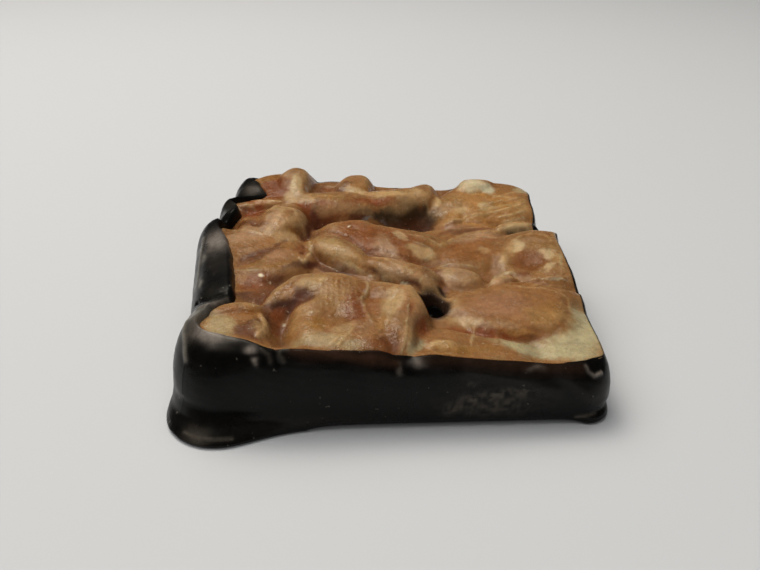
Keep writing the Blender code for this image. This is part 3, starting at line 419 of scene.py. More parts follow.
# Ridges and creases of the caramel, the pale lines partly tone and partly painted highlight along the
# ridges, the dark ones painted shade in the creases and under edges: name, tone, strength, half width,
# rise, places
LINES = (
    ("thread", "cream", 0.9, 0.15, 0.12, ((1.9, -20.0), (1.7, -22.8), (1.5, -25.3), (1.1, -27.8),
        (0.8, -29.4), (0.5, -30.1))),
    ("nub_curl", "pale", 0.9, 0.45, 0.5, ((-21.6, -21.9), (-20.8, -22.9), (-20.4, -23.9),
        (-20.5, -26.6), (-21.2, -27.9))),
    ("nub_curl_shade", "umber", 0.7, 0.4, -0.3, ((-22.3, -23.2), (-21.3, -24.0), (-20.9, -25.7))),
    ("cup_rim", "straw", 0.9, 0.26, 0.35, ((-16.0, 4.1), (-15.5, 2.1), (-15.4, 0.4), (-15.7, -1.9),
        (-16.5, -3.2), (-17.2, -2.7))),
    ("cup_shade", "brown", 0.7, 0.4, -0.3, ((-16.8, 3.0), (-16.3, 0.7), (-16.7, -1.0))),
    ("dome_rim", "pale", 0.5, 0.5, 0.15, ((-21.9, 14.9), (-19.7, 13.3), (-18.4, 11.1), (-17.6, 9.9),
        (-17.4, 9.2))),
    ("dome_rim_shade", "russet", 0.5, 0.5, 0, ((-19.6, 17.7), (-18.1, 11.6), (-17.3, 10.3))),
    ("fold_red", "red", 0.6, 0.5, -0.25, ((-28.0, -4.1), (-26.1, -2.4), (-23.7, -1.2), (-21.8, 1.3),
        (-20.2, 3.7))),
    ("pale_line", "cream", 0.7, 0.2, 0.1, ((-27.7, -6.9), (-26.1, -7.2), (-23.3, -7.1))),
    ("sausage_top", "red", 0.5, 0.4, -0.15, ((-15.9, 10.0), (-14.0, 11.0), (-10.8, 9.2), (-8.0, 6.7),
        (-5.7, 3.9))),
    ("sausage_under", "red", 0.6, 0.5, -0.1, ((-15.2, 0.6), (-12.9, -0.9), (-9.9, -2.7), (-7.0, -3.9))),
    ("tongue_top", "red", 0.4, 0.4, -0.15, ((-5.1, 3.3), (-2.7, 3.6), (0.3, 2.4), (3.6, 1.4),
        (6.9, 0.5))),
    ("tongue_line", "pale", 0.6, 0.4, 0.1, ((-3.8, -1.0), (-1.6, -2.4), (0.8, -4.9), (2.9, -6.2))),
    ("crumbs_1", "cream", 0.6, 0.28, 0.25, ((-10.3, -2.1), (-8.8, -2.8), (-7.2, -3.5), (-5.2, -4.3),
        (-3.4, -5.5), (-0.6, -7.3))),
    ("crumbs_2", "cream", 0.65, 0.32, 0.3, ((-5.0, -13.0), (-4.5, -14.9), (-5.0, -16.3), (-5.8, -17.8),
        (-5.4, -19.2))),
    ("crumbs_3", "pale", 0.6, 0.3, 0.2, ((-5.3, -19.2), (-4.9, -21.3), (-3.9, -24.1), (-2.9, -25.8))),
    ("face_left", "pale", 0.5, 0.5, 0.1, ((-16.8, -23.0), (-15.8, -22.2), (-14.4, -21.9),
        (-12.5, -21.7))),
    ("valley_line", "rose", 0.6, 0.18, 0.1, ((-17.6, -16.7), (-16.6, -16.9), (-15.3, -17.5))),
    ("arm_line", "brown", 0.4, 0.5, -0.1, ((-22.3, -15.7), (-19.8, -16.2), (-17.7, -14.3),
        (-16.5, -12.3))),
    ("rib_1", "pale", 0.35, 0.17, 0.04, ((-12.4, -13.1), (-12.4, -15.8), (-12.4, -18.2),
        (-12.0, -20.6))),
    ("rib_2", "pale", 0.35, 0.17, 0.04, ((-11.6, -13.1), (-11.6, -15.8), (-11.4, -18.5),
        (-11.0, -20.8))),
    ("rib_3", "pale", 0.35, 0.17, 0.04, ((-10.7, -13.0), (-10.6, -16.1), (-10.5, -18.6),
        (-10.0, -21.0))),
    ("rib_4", "pale", 0.35, 0.17, 0.04, ((-9.9, -12.8), (-9.8, -16.0), (-9.5, -18.7), (-9.1, -21.3))),
    ("rib_5", "pale", 0.35, 0.17, 0.04, ((-9.1, -12.9), (-8.8, -16.1), (-8.5, -18.9), (-8.1, -21.9))),
    ("rib_6", "pale", 0.35, 0.17, 0.04, ((-8.1, -12.7), (-7.8, -16.0), (-7.4, -19.2), (-7.0, -22.0))),
    ("rib_7", "pale", 0.35, 0.17, 0.04, ((-7.1, -12.6), (-6.6, -16.1), (-6.3, -19.0))),
    ("groove_a", "brown", 0.3, 0.17, -0.03, ((-11.0, -13.6), (-11.1, -16.3), (-10.7, -19.7))),
    ("groove_b", "brown", 0.3, 0.17, -0.03, ((-9.4, -13.3), (-9.3, -16.1), (-8.8, -19.9))),
    ("slant_1", "pale", 0.6, 0.25, 0.15, ((-9.0, -29.8), (-8.2, -28.0), (-7.3, -26.5), (-6.3, -24.9))),
    ("slant_2", "brown", 0.5, 0.25, -0.12, ((-8.4, -29.6), (-7.6, -28.0), (-6.7, -26.5),
        (-5.8, -25.6))),
    ("slant_3", "pale", 0.5, 0.25, 0.12, ((-10.2, -30.0), (-9.4, -28.5), (-8.5, -27.5))),
    ("tooth_edge", "brown", 0.4, 0.5, 0, ((-3.4, -15.0), (-4.0, -17.7), (-4.6, -21.3), (-3.9, -24.4))),
    ("mark_line", "pale", 0.5, 0.3, 0.12, ((1.9, 9.3), (4.3, 8.9), (6.5, 8.2), (8.4, 6.7))),
    ("mark_under", "brown", 0.5, 0.35, -0.12, ((1.4, 2.1), (4.0, 1.8), (6.6, 1.9), (8.6, 3.0))),
    ("strip_edge", "blush", 0.7, 0.35, 0.2, ((8.2, 21.9), (10.9, 19.5), (14.3, 20.5), (18.0, 20.4),
        (21.7, 17.5))),
    ("strip_shade", "red", 0.5, 0.6, -0.1, ((8.4, 12.5), (11.3, 14.7), (14.9, 18.2), (18.9, 17.1))),
    ("band_edge", "yellow", 0.8, 0.5, 0.3, ((8.9, 6.3), (11.4, 10.7), (14.4, 13.0), (17.7, 14.6),
        (21.5, 15.6))),
    ("band_shade", "russet", 0.5, 0.6, -0.1, ((10.3, 6.0), (13.2, 8.6), (16.4, 10.0), (19.9, 9.9))),
    ("lobe_back", "pale", 0.5, 0.4, 0.15, ((22.7, 7.7), (24.4, 9.3), (26.8, 10.1), (29.1, 9.4),
        (30.1, 6.7))),
    ("lobe_ring_l", "pale", 0.6, 0.8, 0.2, ((22.2, 6.0), (21.0, 3.6), (20.3, 0.9), (20.7, -1.4))),
    ("lobe_ring_r", "pale", 0.5, 0.7, 0.2, ((30.0, 5.0), (30.6, 1.9), (30.6, -1.2), (30.6, -3.2))),
    ("fold_1", "blush", 0.75, 0.25, 0.2, ((23.0, -3.9), (25.4, -4.1), (28.3, -4.1), (31.0, -3.7))),
    ("fold_1_shade", "brown", 0.6, 0.3, -0.15, ((22.0, -7.3), (25.4, -4.5), (28.2, -4.7),
        (30.7, -4.6))),
    ("fold_2", "pale", 0.5, 0.25, 0.15, ((23.9, -8.1), (27.7, -5.8), (30.5, -5.9))),
    ("knob_arc", "cream", 0.8, 0.45, 0.3, ((17.1, -5.8), (18.6, -1.4), (20.4, -1.2), (21.8, -2.0))),
    ("knob_shade", "brown", 0.6, 0.4, -0.2, ((18.0, -7.9), (19.7, -6.0), (21.4, -4.7))),
    ("plateau_back", "blush", 0.4, 0.4, 0.15, ((13.0, -9.3), (15.9, -5.7), (18.4, -7.6), (21.7, -8.9))),
    ("plateau_arc", "pale", 0.5, 0.3, 0.1, ((21.7, -8.9), (25.9, -9.0), (28.4, -10.3), (29.7, -12.0),
        (29.4, -15.1))),
    ("plateau_right", "brown", 0.6, 0.6, -0.15, ((29.2, -11.9), (28.7, -16.0), (27.3, -19.6),
        (25.7, -21.2))),
    ("plateau_rim", "pale", 0.6, 0.8, 0.15, ((9.0, -17.7), (10.5, -18.5), (12.0, -19.1),
        (13.3, -19.1))),
    ("plateau_rim_2", "blush", 0.5, 0.8, 0.1, ((14.8, -19.8), (16.8, -19.4), (18.7, -20.0))),
    ("peak_1", "pale", 0.45, 0.5, 0.15, ((12.6, -20.0), (12.4, -20.9), (12.0, -24.2))),
    ("peak_2", "pale", 0.4, 0.5, 0.15, ((16.4, -20.9), (16.3, -21.5), (16.2, -23.4))),
    ("shelf_line", "yellow", 0.7, 0.5, 0.2, ((5.0, -27.4), (6.6, -26.5), (8.5, -26.0), (10.3, -26.6))),
    ("cream_edge", "cream", 0.8, 0.6, 0.15, ((19.4, -24.3), (21.9, -23.3), (24.2, -22.9),
        (26.3, -21.6))),
    ("front_crust", "cream", 0.6, 0.3, 0.1, ((18.9, -27.9), (23.0, -27.2), (27.2, -28.6),
        (29.7, -27.7))),
    ("layer_1", "pale", 0.7, 0.3, 0.25, ((12.2, 19.9), (15.2, 21.7), (19.0, 22.6), (22.9, 23.4),
        (26.9, 25.3))),
    ("layer_1_shade", "ochre", 0.6, 0.3, -0.2, ((13.0, 19.6), (16.4, 20.9), (20.3, 22.0), (24.0, 22.4),
        (27.6, 24.3))),
    ("layer_2", "cream", 0.6, 0.28, 0.25, ((19.3, 25.5), (22.4, 26.5), (25.5, 27.2), (28.2, 28.5))),
    ("layer_2_shade", "ochre", 0.6, 0.3, -0.2, ((19.7, 24.7), (22.8, 25.8), (25.8, 26.5))),
    ("layer_3", "pale", 0.6, 0.3, 0.2, ((21.7, 28.1), (24.5, 29.3), (27.2, 30.5))),
    ("layer_4", "cream", 0.5, 0.3, 0.2, ((22.3, 21.5), (24.8, 21.8), (27.4, 23.0))),
    # Painted shade along the foot of the block
    ("block_foot", "rust", 0.4, 0.35, -0.12, ((10.9, 19.3), (14.3, 20.5), (18.0, 20.4), (21.4, 20.6),
        (22.9, 16.9))),
    ("lump_edge", "ochre", 0.4, 0.4, -0.15, ((14.7, 30.5), (17.2, 29.7), (19.8, 30.2), (21.4, 29.0))),
    ("fragment_top", "cream", 0.8, 0.4, 0.2, ((22.6, 20.2), (24.6, 20.4), (27.2, 21.3))),
    # Painted shade in the gap under the fragment
    ("fragment_under", "shade_black", 0.9, 0.4, -0.3, ((23.2, 15.7), (24.9, 16.3), (26.6, 16.9))),
    ("fringe_1", "straw", 0.5, 0.3, 0.2, ((-30.1, 19.9), (-29.2, 19.4), (-28.0, 19.1))),
    ("fringe_2", "brown", 0.5, 0.3, -0.15, ((-29.0, 20.9), (-27.3, 19.9))),
    ("fringe_line", "pale", 0.7, 0.3, 0.15, ((-29.6, 22.1), (-27.8, 21.4), (-25.4, 21.6),
        (-22.9, 21.3))),
    ("peak_line", "pale", 0.6, 0.5, 0.15, ((-20.6, 29.5), (-20.2, 26.7), (-19.8, 24.7))),
    ("log_rim", "pale", 0.4, 0.4, 0.1, ((-22.2, 23.3), (-19.4, 23.9), (-15.1, 23.2), (-11.0, 23.1),
        (-7.8, 27.3))),
    ("log_seam", "russet", 0.4, 0.5, -0.05, ((-19.1, 20.8), (-15.0, 20.7), (-10.9, 21.2), (-6.9, 23.1),
        (-2.7, 24.7))),
    ("log_fold_1", "pale", 0.5, 0.35, 0.15, ((5.2, 29.0), (6.7, 27.2), (7.5, 26.1), (7.9, 24.9))),
    ("log_fold_2", "brown", 0.4, 0.35, -0.1, ((4.1, 28.4), (5.4, 26.5), (6.2, 25.8))),
    ("dip_shine", "cream", 0.6, 0.4, 0, ((-15.8, 31.7), (-14.1, 32.2), (-12.5, 31.3))),
    ("bump_line", "pale", 0.5, 0.5, 0.1, ((-10.1, 25.6), (-7.8, 28.1), (-5.7, 27.8))),
    ("oval_rim", "cream", 0.5, 0.3, 0.15, ((8.1, 0.6), (10.3, 1.0), (13.2, 0.4), (15.2, -0.0))),
    ("pit_rim", "russet", 0.6, 0.5, 0, ((5.1, -19.7), (6.9, -17.1), (8.3, -16.0))),
    ("tooth_bump", "blush", 0.6, 0.5, 0.2, ((-2.7, -27.5), (-1.8, -26.7), (-0.9, -27.4))),
    ("thread_shade", "rust", 0.6, 0.25, -0.08, ((2.3, -20.3), (2.0, -23.7), (1.6, -27.1),
        (1.1, -29.3))),
    ("slab_top_edge", "pale", 0.6, 0.4, 0.15, ((-31.0, 10.1), (-28.8, 7.7), (-26.9, 6.5),
        (-24.5, 5.3))),
    ("slab_top_shade", "red", 0.5, 0.5, -0.2, ((-30.9, 13.7), (-28.4, 10.2), (-26.0, 8.3))),
    ("mark_rim", "cream", 0.6, 0.3, 0.15, ((2.6, 6.6), (4.9, 6.0), (6.8, 4.9), (7.5, 3.6), (5.9, 2.4))),
    ("ridge_pale", "pale", 0.5, 0.8, 0.1, ((-21.6, 12.6), (-22.6, 9.0), (-23.7, 6.3))),
    ("pink_streak", "pink", 0.8, 0.35, 0.12, ((-10.7, -1.8), (-9.0, -2.7), (-7.4, -3.6))),
    ("arm_edge", "brown2", 0.6, 0.3, 0.1, ((-22.2, -16.3), (-20.4, -16.6), (-19.1, -14.7),
        (-17.6, -12.8), (-17.0, -5.9))),
)
# Marks on the chocolate, mostly painted sheens, highlights and reflections, besides brown patches and dust:
# name, x, y, z, half width, half height, tone, strength, rise
SPOTS = (
    # Painted sheens on the tops and sides of the lobes
    ("lobe_1_sheen", -28.0, -28.9, 15.1, 3.6, 1.1, "sheen", 1.0, 0),
    ("lobe_1_top", -30.7, -25.3, 15.4, 1.8, 0.9, "soft_sheen", 0.9, 0),
    ("lobe_1_right", -25.4, -29.7, 14.7, 1.5, 0.3, "soft_sheen", 0.5, 0),
    ("lobe_1_side", -32.5, -28.0, 13.8, 1.7, 2.1, "soft_sheen", 0.4, 0),
    ("lobe_2_sheen", -32.9, 1.0, 16.7, 4.3, 1.1, "sheen", 0.75, 0),
    ("lobe_2_mid", -31.6, -7.0, 16.0, 4.4, 1.1, "soft_sheen", 0.12, 0),
    ("lobe_2_front", -30.4, -15.9, 15.2, 3.1, 1.1, "faint", 0.6, 0),
    ("lobe_3_sheen", -33.3, 17.7, 16.6, 3.2, 1.1, "faint", 0.9, 0),
    ("lobe_4_sheen", -29.7, 26.4, 16.9, 2.8, 1.1, "soft_sheen", 0.7, 0),
    # Painted reflection of the light along the left wall
    ("side_band_1", -34.5, -2.5, 15.0, 1.7, 0.6, "grey_reflection", 0.7, 0),
    ("side_band_2", -33.5, -10.8, 14.2, 1.8, 0.4, "grey_reflection", 0.8, 0),
    ("side_band_3", -31.8, -22.6, 15.3, 3.7, 2.3, "grey_reflection", 0.7, 0),
    # Painted highlights on the shoulder of the rim
    ("shoulder_spot", -21.9, -31.7, 14.0, 1.0, 0.5, "sheen", 0.9, 0.1),
    ("shoulder_spot_2", -21.3, -32.5, 12.6, 0.6, 0.5, "sheen", 0.9, 0.05),
    ("rim_spot_1", 3.0, -31.5, 11.6, 1.2, 0.6, "sheen", 0.85, 0.15),
    ("rim_spot_2", 20.9, -30.8, 10.0, 1.3, 0.4, "sheen", 0.6, 0.1),
    ("rim_spot_3", 0.3, -32.1, 10.7, 0.4, 0.8, "soft_sheen", 0.8, 0),
    ("rim_brown_1", -10.1, -31.2, 13.3, 5.0, 1.1, "cocoa", 0.9, 0),
    ("rim_brown_2", -3.9, -31.4, 12.4, 3.3, 1.1, "cocoa", 0.9, 0),
    ("dusty", 14.4, -32.1, 4.5, 6.8, 2.3, "dust", 0.85, 0),
    ("dusty_2", 10.9, -32.1, 8.5, 1.5, 0.9, "dust", 0.4, 0),
    # Painted highlight along the edge of the foot, and painted sheen low on the front and at the right
    # front corner
    ("foot_rim", -30.4, -36.1, 1.4, 2.3, 1.1, "soft_sheen", 0.5, 0),
    ("front_low", -14.9, -33.5, 1.8, 15.2, 1.5, "faint", 0.4, 0),
    ("corner_soft", 31.5, -30.6, 5.1, 1.2, 3.0, "faint", 0.7, 0),
)
# Folds and lines on the chocolate, mostly painted highlights along ridges and painted shade in creases,
# besides
# brown and dust: name, tone, strength, half width, rise, places
FOLDS = (
    # Creases: their light lines are painted highlights and their dark lines painted shade
    ("crease_1", "soft_sheen", 0.7, 0.35, 0.25, ((-31.6, -22.0, 15.5), (-30.0, -22.2, 16.3),
        (-28.5, -20.2, 15.9), (-26.9, -17.1, 14.7))),
    ("crease_1_dark", "night", 0.9, 0.4, -0.4, ((-33.0, -15.7, 12.8), (-30.9, -17.2, 14.4),
        (-28.8, -17.3, 15.2), (-27.0, -16.4, 15.3))),
    ("crease_2", "soft_sheen", 0.55, 0.35, 0.25, ((-16.2, -31.6, 13.9), (-16.9, -31.4, 14.0),
        (-17.5, -31.7, 13.8), (-17.6, -32.2, 13.3), (-17.0, -32.6, 12.6))),
    ("crease_2_dark", "night", 0.8, 0.35, -0.3, ((-18.2, -31.0, 13.5), (-18.4, -32.0, 12.8),
        (-17.8, -32.4, 12.0))),
    ("crease_3", "soft_sheen", 0.4, 0.35, 0.2, ((-20.2, -31.6, 13.9), (-19.2, -32.1, 13.4),
        (-18.9, -32.6, 12.5))),
    # The notch: a painted highlight round it and painted shade inside
    ("notch_ring", "sheen", 0.8, 0.28, 0.3, ((28.7, -29.8, 10.1), (29.1, -30.5, 9.3),
        (30.0, -30.6, 8.6), (31.2, -29.7, 8.6))),
    ("notch_dark", "night", 0.9, 0.45, -0.2, ((29.4, -28.9, 9.7), (30.1, -29.4, 9.1),
        (31.2, -28.8, 8.9))),
    # Painted highlight along the seam
    ("seam", "soft_sheen", 0.5, 0.3, 0.2, ((0.3, -31.6, 11.5), (0.4, -32.3, 10.1))),
    # Swellings of the front, a little lighter with painted sheen
    ("swell_1", "faint", 0.5, 1.2, 0.25, ((10.8, -31.8, 10.2), (15.4, -31.8, 9.4), (20.0, -31.9, 8.1),
        (24.1, -31.9, 6.2))),
    ("swell_2", "faint", 0.4, 1.0, 0.2, ((24.5, -30.9, 9.5), (26.9, -31.5, 7.7), (29.5, -31.6, 4.9))),
    # Painted highlights along the edges of the feet
    ("foot_line", "soft_sheen", 0.6, 0.25, 0.1, ((-32.4, -35.0, 1.4), (-30.3, -36.2, 1.3),
        (-27.5, -36.7, 1.3), (-24.9, -36.4, 1.2))),
    ("foot_line_2", "soft_sheen", 0.6, 0.25, 0.1, ((27.8, -31.4, 1.5), (29.3, -31.4, 1.7),
        (30.8, -30.9, 1.9))),
    # Painted reflection of the light along the left edge
    ("side_line", "grey_reflection", 0.85, 0.4, 0.2, ((-35.9, 4.7, 15.6), (-35.3, -2.8, 14.3),
        (-34.5, -9.7, 13.5), (-32.8, -24.9, 14.8), (-32.5, -28.5, 13.4), (-32.1, -30.5, 11.4))),
    # Painted highlight along the lip of the first lobe
    ("lobe_1_lip", "sheen", 0.6, 0.3, 0.2, ((-31.2, -22.0, 15.8), (-29.2, -21.8, 16.1),
        (-27.5, -19.3, 14.8))),
    ("rim_brown", "cocoa", 0.9, 0.7, 0, ((-15.7, -31.6, 13.8), (-11.6, -31.5, 13.3),
        (-7.2, -31.4, 12.7), (-2.7, -31.6, 12.0), (-0.3, -31.5, 11.4))),
    ("rim_brown_r", "cocoa", 0.6, 1.0, 0, ((4.0, -31.3, 11.8), (9.3, -30.9, 11.5), (15.4, -30.7, 10.7),
        (22.3, -30.6, 9.9), (27.7, -30.1, 9.7))),
    ("dust_line", "dust", 1.0, 0.8, 0, ((7.7, -32.3, 3.3), (9.8, -32.3, 4.8), (12.5, -32.2, 5.7),
        (16.3, -32.0, 6.3), (20.1, -31.9, 6.6))),
)

# Lights: name, place, width and depth, power, colour, whether reflections show it
LIGHTS = (
    ("overhead", (-0.25, 0.15, 0.75), (1.1, 1.0), 7.3, (1.0, 0.99, 0.96), False),
    ("fill", (0.25, -0.80, 0.60), (1.0, 0.7), 1.5, (1.0, 0.99, 0.97), False),
    ("gloss", (-0.25, 0.30, 0.75), (0.40, 0.34), 2.5, (1.0, 0.92, 0.78), True),
)
LIGHT_AIM = 0, 0, 0.01
WORLD_COLOUR, WORLD_STRENGTH = (1.0, 0.99, 0.97, 1), 0.06
FLOOR_CORNERS = (-1.5, -1.0), (1.5, 3.0)    # in metres
FLOOR_COLOUR, FLOOR_ROUGHNESS = (0.59, 0.6, 0.62, 1), 0.75
# Camera fitted to the corners of the slab: place in the plan frame, pitch below level, focal length
CAMERA_PLACE = (-2.7, -130.5, 76.95)
CAMERA_PITCH = 27.8
FOCAL_PIXELS, IMAGE_WIDTH, SENSOR_WIDTH = 790.0, 760.0, 36.0


def soft_max(heights, blend=BLEND):
    """Smooth upper envelope of a list of height arrays."""
    stack = np.stack(heights)
    top = stack.max(axis=0)
    return top + blend * np.log(np.exp((stack - top) / blend).sum(axis=0))


def soft_min(first, second, blend=BLEND):
    """Smooth lower envelope of two height arrays."""
    return -soft_max([-first, -second], blend)


def bump(distance, half_width):
    """1 at no distance, falling off smoothly on both sides."""
    return np.exp(-(distance / half_width) ** 2)


def near(points, x, y, half_width):
    """1 for points at a place in the plan, less further off."""
    return bump(np.hypot(points[:, 0] - x, points[:, 1] - y), half_width)


def smooth_step(low, high, value):
    """0 at the low value, 1 at the high one, with a smooth start and end."""
    t = np.clip((value - low) / (high - low), 0, 1)
    return t * t * (3 - 2 * t)


def side_walk(start, end, first_radius, last_radius, count):
    """Points at even steps from the middle of one round corner to the middle of the next."""
    start, end = np.array(start), np.array(end)
    along = (end - start) / np.linalg.norm(end - start)
    inward = np.array([-along[1], along[0]])
    first_arc, last_arc = first_radius * math.pi / 4, last_radius * math.pi / 4
    straight = np.linalg.norm(end - start) - first_radius - last_radius
    points = []
    for travelled in np.linspace(0, first_arc + straight + last_arc, count + 1)[:-1]:
        if travelled < first_arc:
            angle = math.pi / 4 - travelled / first_radius
            centre = start + first_radius * (along + inward)
            points.append(centre - first_radius * (math.sin(angle) * along + math.cos(angle) * inward))
        elif travelled < first_arc + straight:
            points.append(start + along * (first_radius + travelled - first_arc))
        else:
            angle = (travelled - first_arc - straight) / last_radius
            centre = end + last_radius * (inward - along)
            points.append(centre + last_radius * (math.sin(angle) * along - math.cos(angle) * inward))
    return points


def widest_line():
    """The widest line of the chocolate, anticlockwise from the front left corner, with its normals."""
    radii = CORNER_RADII
    corners = [(LEFT, FRONT), (RIGHT, FRONT + FRONT_SKEW), (RIGHT - RIGHT_SKEW, BACK), (LEFT, BACK)]
    order = [radii["front_left"], radii["front_right"], radii["back_right"], radii["back_left"]]
    points = []
    for side in range(4):
        after = (side + 1) % 4
        points += side_walk(corners[side], corners[after], order[side], order[after], SEGMENTS)
    points = np.array(points)
    tangent = np.roll(points, -1, axis=0) - np.roll(points, 1, axis=0)
    normal = np.stack([tangent[:, 1], -tangent[:, 0]], axis=1)
    normal /= np.linalg.norm(normal, axis=1)[:, None]
    for y, reach, half in RIGHT_WAVES:
        wave = reach * bump(points[:, 1] - y, half) * np.clip(normal[:, 0], 0, None)
        points = points + normal * wave[:, None]
    return points, normal


def lap_widths(points, normal):
    """How far the chocolate reaches in over the top at each point of the widest line."""
    ys, widths = np.array(LEFT_LAPS).T
    left = np.interp(points[:, 1], ys, widths)
    facing = np.stack([-normal[:, 0], -normal[:, 1], normal[:, 0], normal[:, 1]])
    share = np.clip(facing, 0, None) ** 2
    straight = np.stack([left, np.full_like(left, FRONT_LAP), np.full_like(left, RIGHT_LAP),
                         np.full_like(left, BACK_LAP)])
    lap = (share * straight).sum(axis=0)
    for x, y, extra, half_width in WIDE_LAPS:
        lap = lap + extra * near(points, x, y, half_width)
    return evened(lap, SEGMENTS // LAP_EVENING)


def evened(values, reach):
    """Values round a closed line after averaging each with its neighbours out to the given reach."""
    kernel = np.hanning(2 * reach + 3)[1:-1]
    padded = np.concatenate([values[-reach:], values, values[:reach]])
    return np.convolve(padded, kernel / kernel.sum(), mode="valid")


def outlines():
    """The widest line with its lobes, the caramel line inside it, and the normals."""
    points, normal = widest_line()
    lap = lap_widths(points, normal)
    caramel = points - normal * lap[:, None]
    caramel = np.stack([evened(caramel[:, axis], SEGMENTS // LINE_EVENING) for axis in (0, 1)], axis=1)
    arcs = []
    for y, reach, growth, half in LOBES:
        past = points[:, 1] - y
        shape = np.clip(1 - (past / half) ** LOBE_SQUARENESS, 0, None)
        arcs.append((reach + growth * past + LOBE_VALLEY) * shape - LOBE_VALLEY)
    swell = soft_max(arcs, LOBE_BLEND) * np.clip(-normal[:, 0], 0, None)
    widest = points + normal * swell[:, None]
    return widest, caramel, normal


def rim_height(x, y):
    """Height of the rim, between four corner heights, with the waves of the front edge."""
    across = (x - LEFT) / (RIGHT - LEFT)
    along = (y - FRONT) / (BACK - FRONT)
    corner = RIM_HEIGHTS
    front = corner["front_left"] + (corner["front_right"] - corner["front_left"]) * across
    back = corner["back_left"] + (corner["back_right"] - corner["back_left"]) * across
    height = front + (back - front) * along
    near_front = bump(np.clip(y - FRONT, 0, None), WAVE_RUN)
    for centre, rise, width in RIM_WAVES:
        height = height + rise * bump(x - centre, width) * near_front
    for notch_y, depth, width in NOTCHES:
        height = height - depth * bump(y - notch_y, width) * bump(np.clip(x - LEFT, 0, None), NOTCH_RUN)
    for dip_x, dip_y, depth, width in RIM_DIPS:
        height = height - depth * bump(np.hypot(x - dip_x, y - dip_y), width)
    return height


def oval_reach(x, y, cx, cy, length, width, turn, power=2.0):
    """1 on the edge of an oval, less inside it."""
    c, s = math.cos(math.radians(turn)), math.sin(math.radians(turn))
    along = np.abs(c * (x - cx) + s * (y - cy)) / length
    across = np.abs(c * (y - cy) - s * (x - cx)) / width
    return (along ** power + across ** power) ** (1 / power)


def flake_height(x, y, flake):
    """Height of one flake: a tilted, crowned oval whose flank falls away beyond its edge."""
    cx, cy, length, width, turn, top, rise_x, rise_y, crown, flank = flake
    reach = oval_reach(x, y, cx, cy, length, width, turn, SQUARENESS)
    past = SOFTNESS * np.logaddexp(0, (reach - 1) / SOFTNESS)
    tilt = rise_x * (x - cx) + rise_y * (y - cy)
    return top + tilt + crown * (1 - reach ** 2) - flank * past * min(length, width)


def well_reach(x, y):
    """1 on the edge of the well, less inside it."""
    cx, cy, half_width, half_length, turn = WELL
    return oval_reach(x, y, cx, cy, half_width, half_length, turn)


def relief(x, y, distance):
    """The lumpy top before it is trimmed to the rim, which lies at the given distance."""
    wx = x + SWAY * np.sin(SWAY_X * y + SWAY_START_X) + RIPPLE * np.sin(RIPPLE_X * y + RIPPLE_SKEW_X * x)
    wy = y + SWAY * np.sin(SWAY_Y * x + SWAY_START_Y) + RIPPLE * np.sin(RIPPLE_Y * x + RIPPLE_SKEW_Y * y)
    kept = EDGE_VALLEYS * (1 - bump(np.clip(y - FRONT, 0, None), FRONT_FILL))
    depth = VALLEY_DEPTH * (1 - (1 - kept) * np.exp(-distance / VALLEY_RUN))
    waves = VALLEY_WAVE * np.sin(VALLEY_WAVE_X * x) * np.sin(VALLEY_WAVE_Y * y)
    heights = [rim_height(x, y) - depth + waves]
    heights += [flake_height(wx, wy, flake) for flake in FLAKES.values()]
    top = soft_max(heights)
    for cx, cy, length, width, turn, drop in HOLLOWS.values():
        top = top - drop * bump(oval_reach(x, y, cx, cy, length, width, turn), 1.0)
    mouth = MOUTH_HEIGHT + MOUTH_RISE * np.clip(well_reach(x, y) - 1, 0, None)
    return soft_min(top, mouth, MOUTH_BLEND)


def rim_distance(x, y, caramel):
    """Distance of each point from the caramel line."""
    distance = np.full(x.shape, 1e9)
    for px, py in caramel[::2]:
        distance = np.minimum(distance, np.hypot(x - px, y - py))
    return distance


def top_height(x, y, distance):
    """Height of the caramel top, trimmed so that it comes down to the rim at the caramel line."""
    edge = rim_height(x, y) + EDGE_RISE * (1 - np.exp(-distance / EDGE_RUN))
    return soft_min(relief(x, y, distance), edge)


def fitted_grid(outline):
    """A square grid of points inside a closed outline of four equal sides, evened out."""
    n = SEGMENTS
    ring = np.concatenate([outline, outline[:1]])
    front, right = ring[:n + 1], ring[n:2 * n + 1]
    back, left = ring[2 * n:3 * n + 1][::-1], ring[3 * n:][::-1]
    u = np.linspace(0, 1, n + 1)[None, :, None]
    v = np.linspace(0, 1, n + 1)[:, None, None]
    ruled = (1 - v) * front[None] + v * back[None] + (1 - u) * left[:, None] + u * right[:, None]
    corners = ((1 - u) * (1 - v) * front[0] + u * (1 - v) * front[-1]
               + (1 - u) * v * back[0] + u * v * back[-1])
    grid = ruled - corners
    for _ in range(EVENING_STEPS):
        around = grid[:-2, 1:-1] + grid[2:, 1:-1] + grid[1:-1, :-2] + grid[1:-1, 2:]
        grid[1:-1, 1:-1] = around / 4
    return grid


def ring_index():
    """Index in the flattened grid of each border point, in the order of the outline."""
    n = SEGMENTS
    step = np.arange(n)
    rows = np.concatenate([0 * step, step, 0 * step + n, n - step])
    columns = np.concatenate([step, 0 * step + n, n - step, 0 * step])
    return rows * (n + 1) + columns


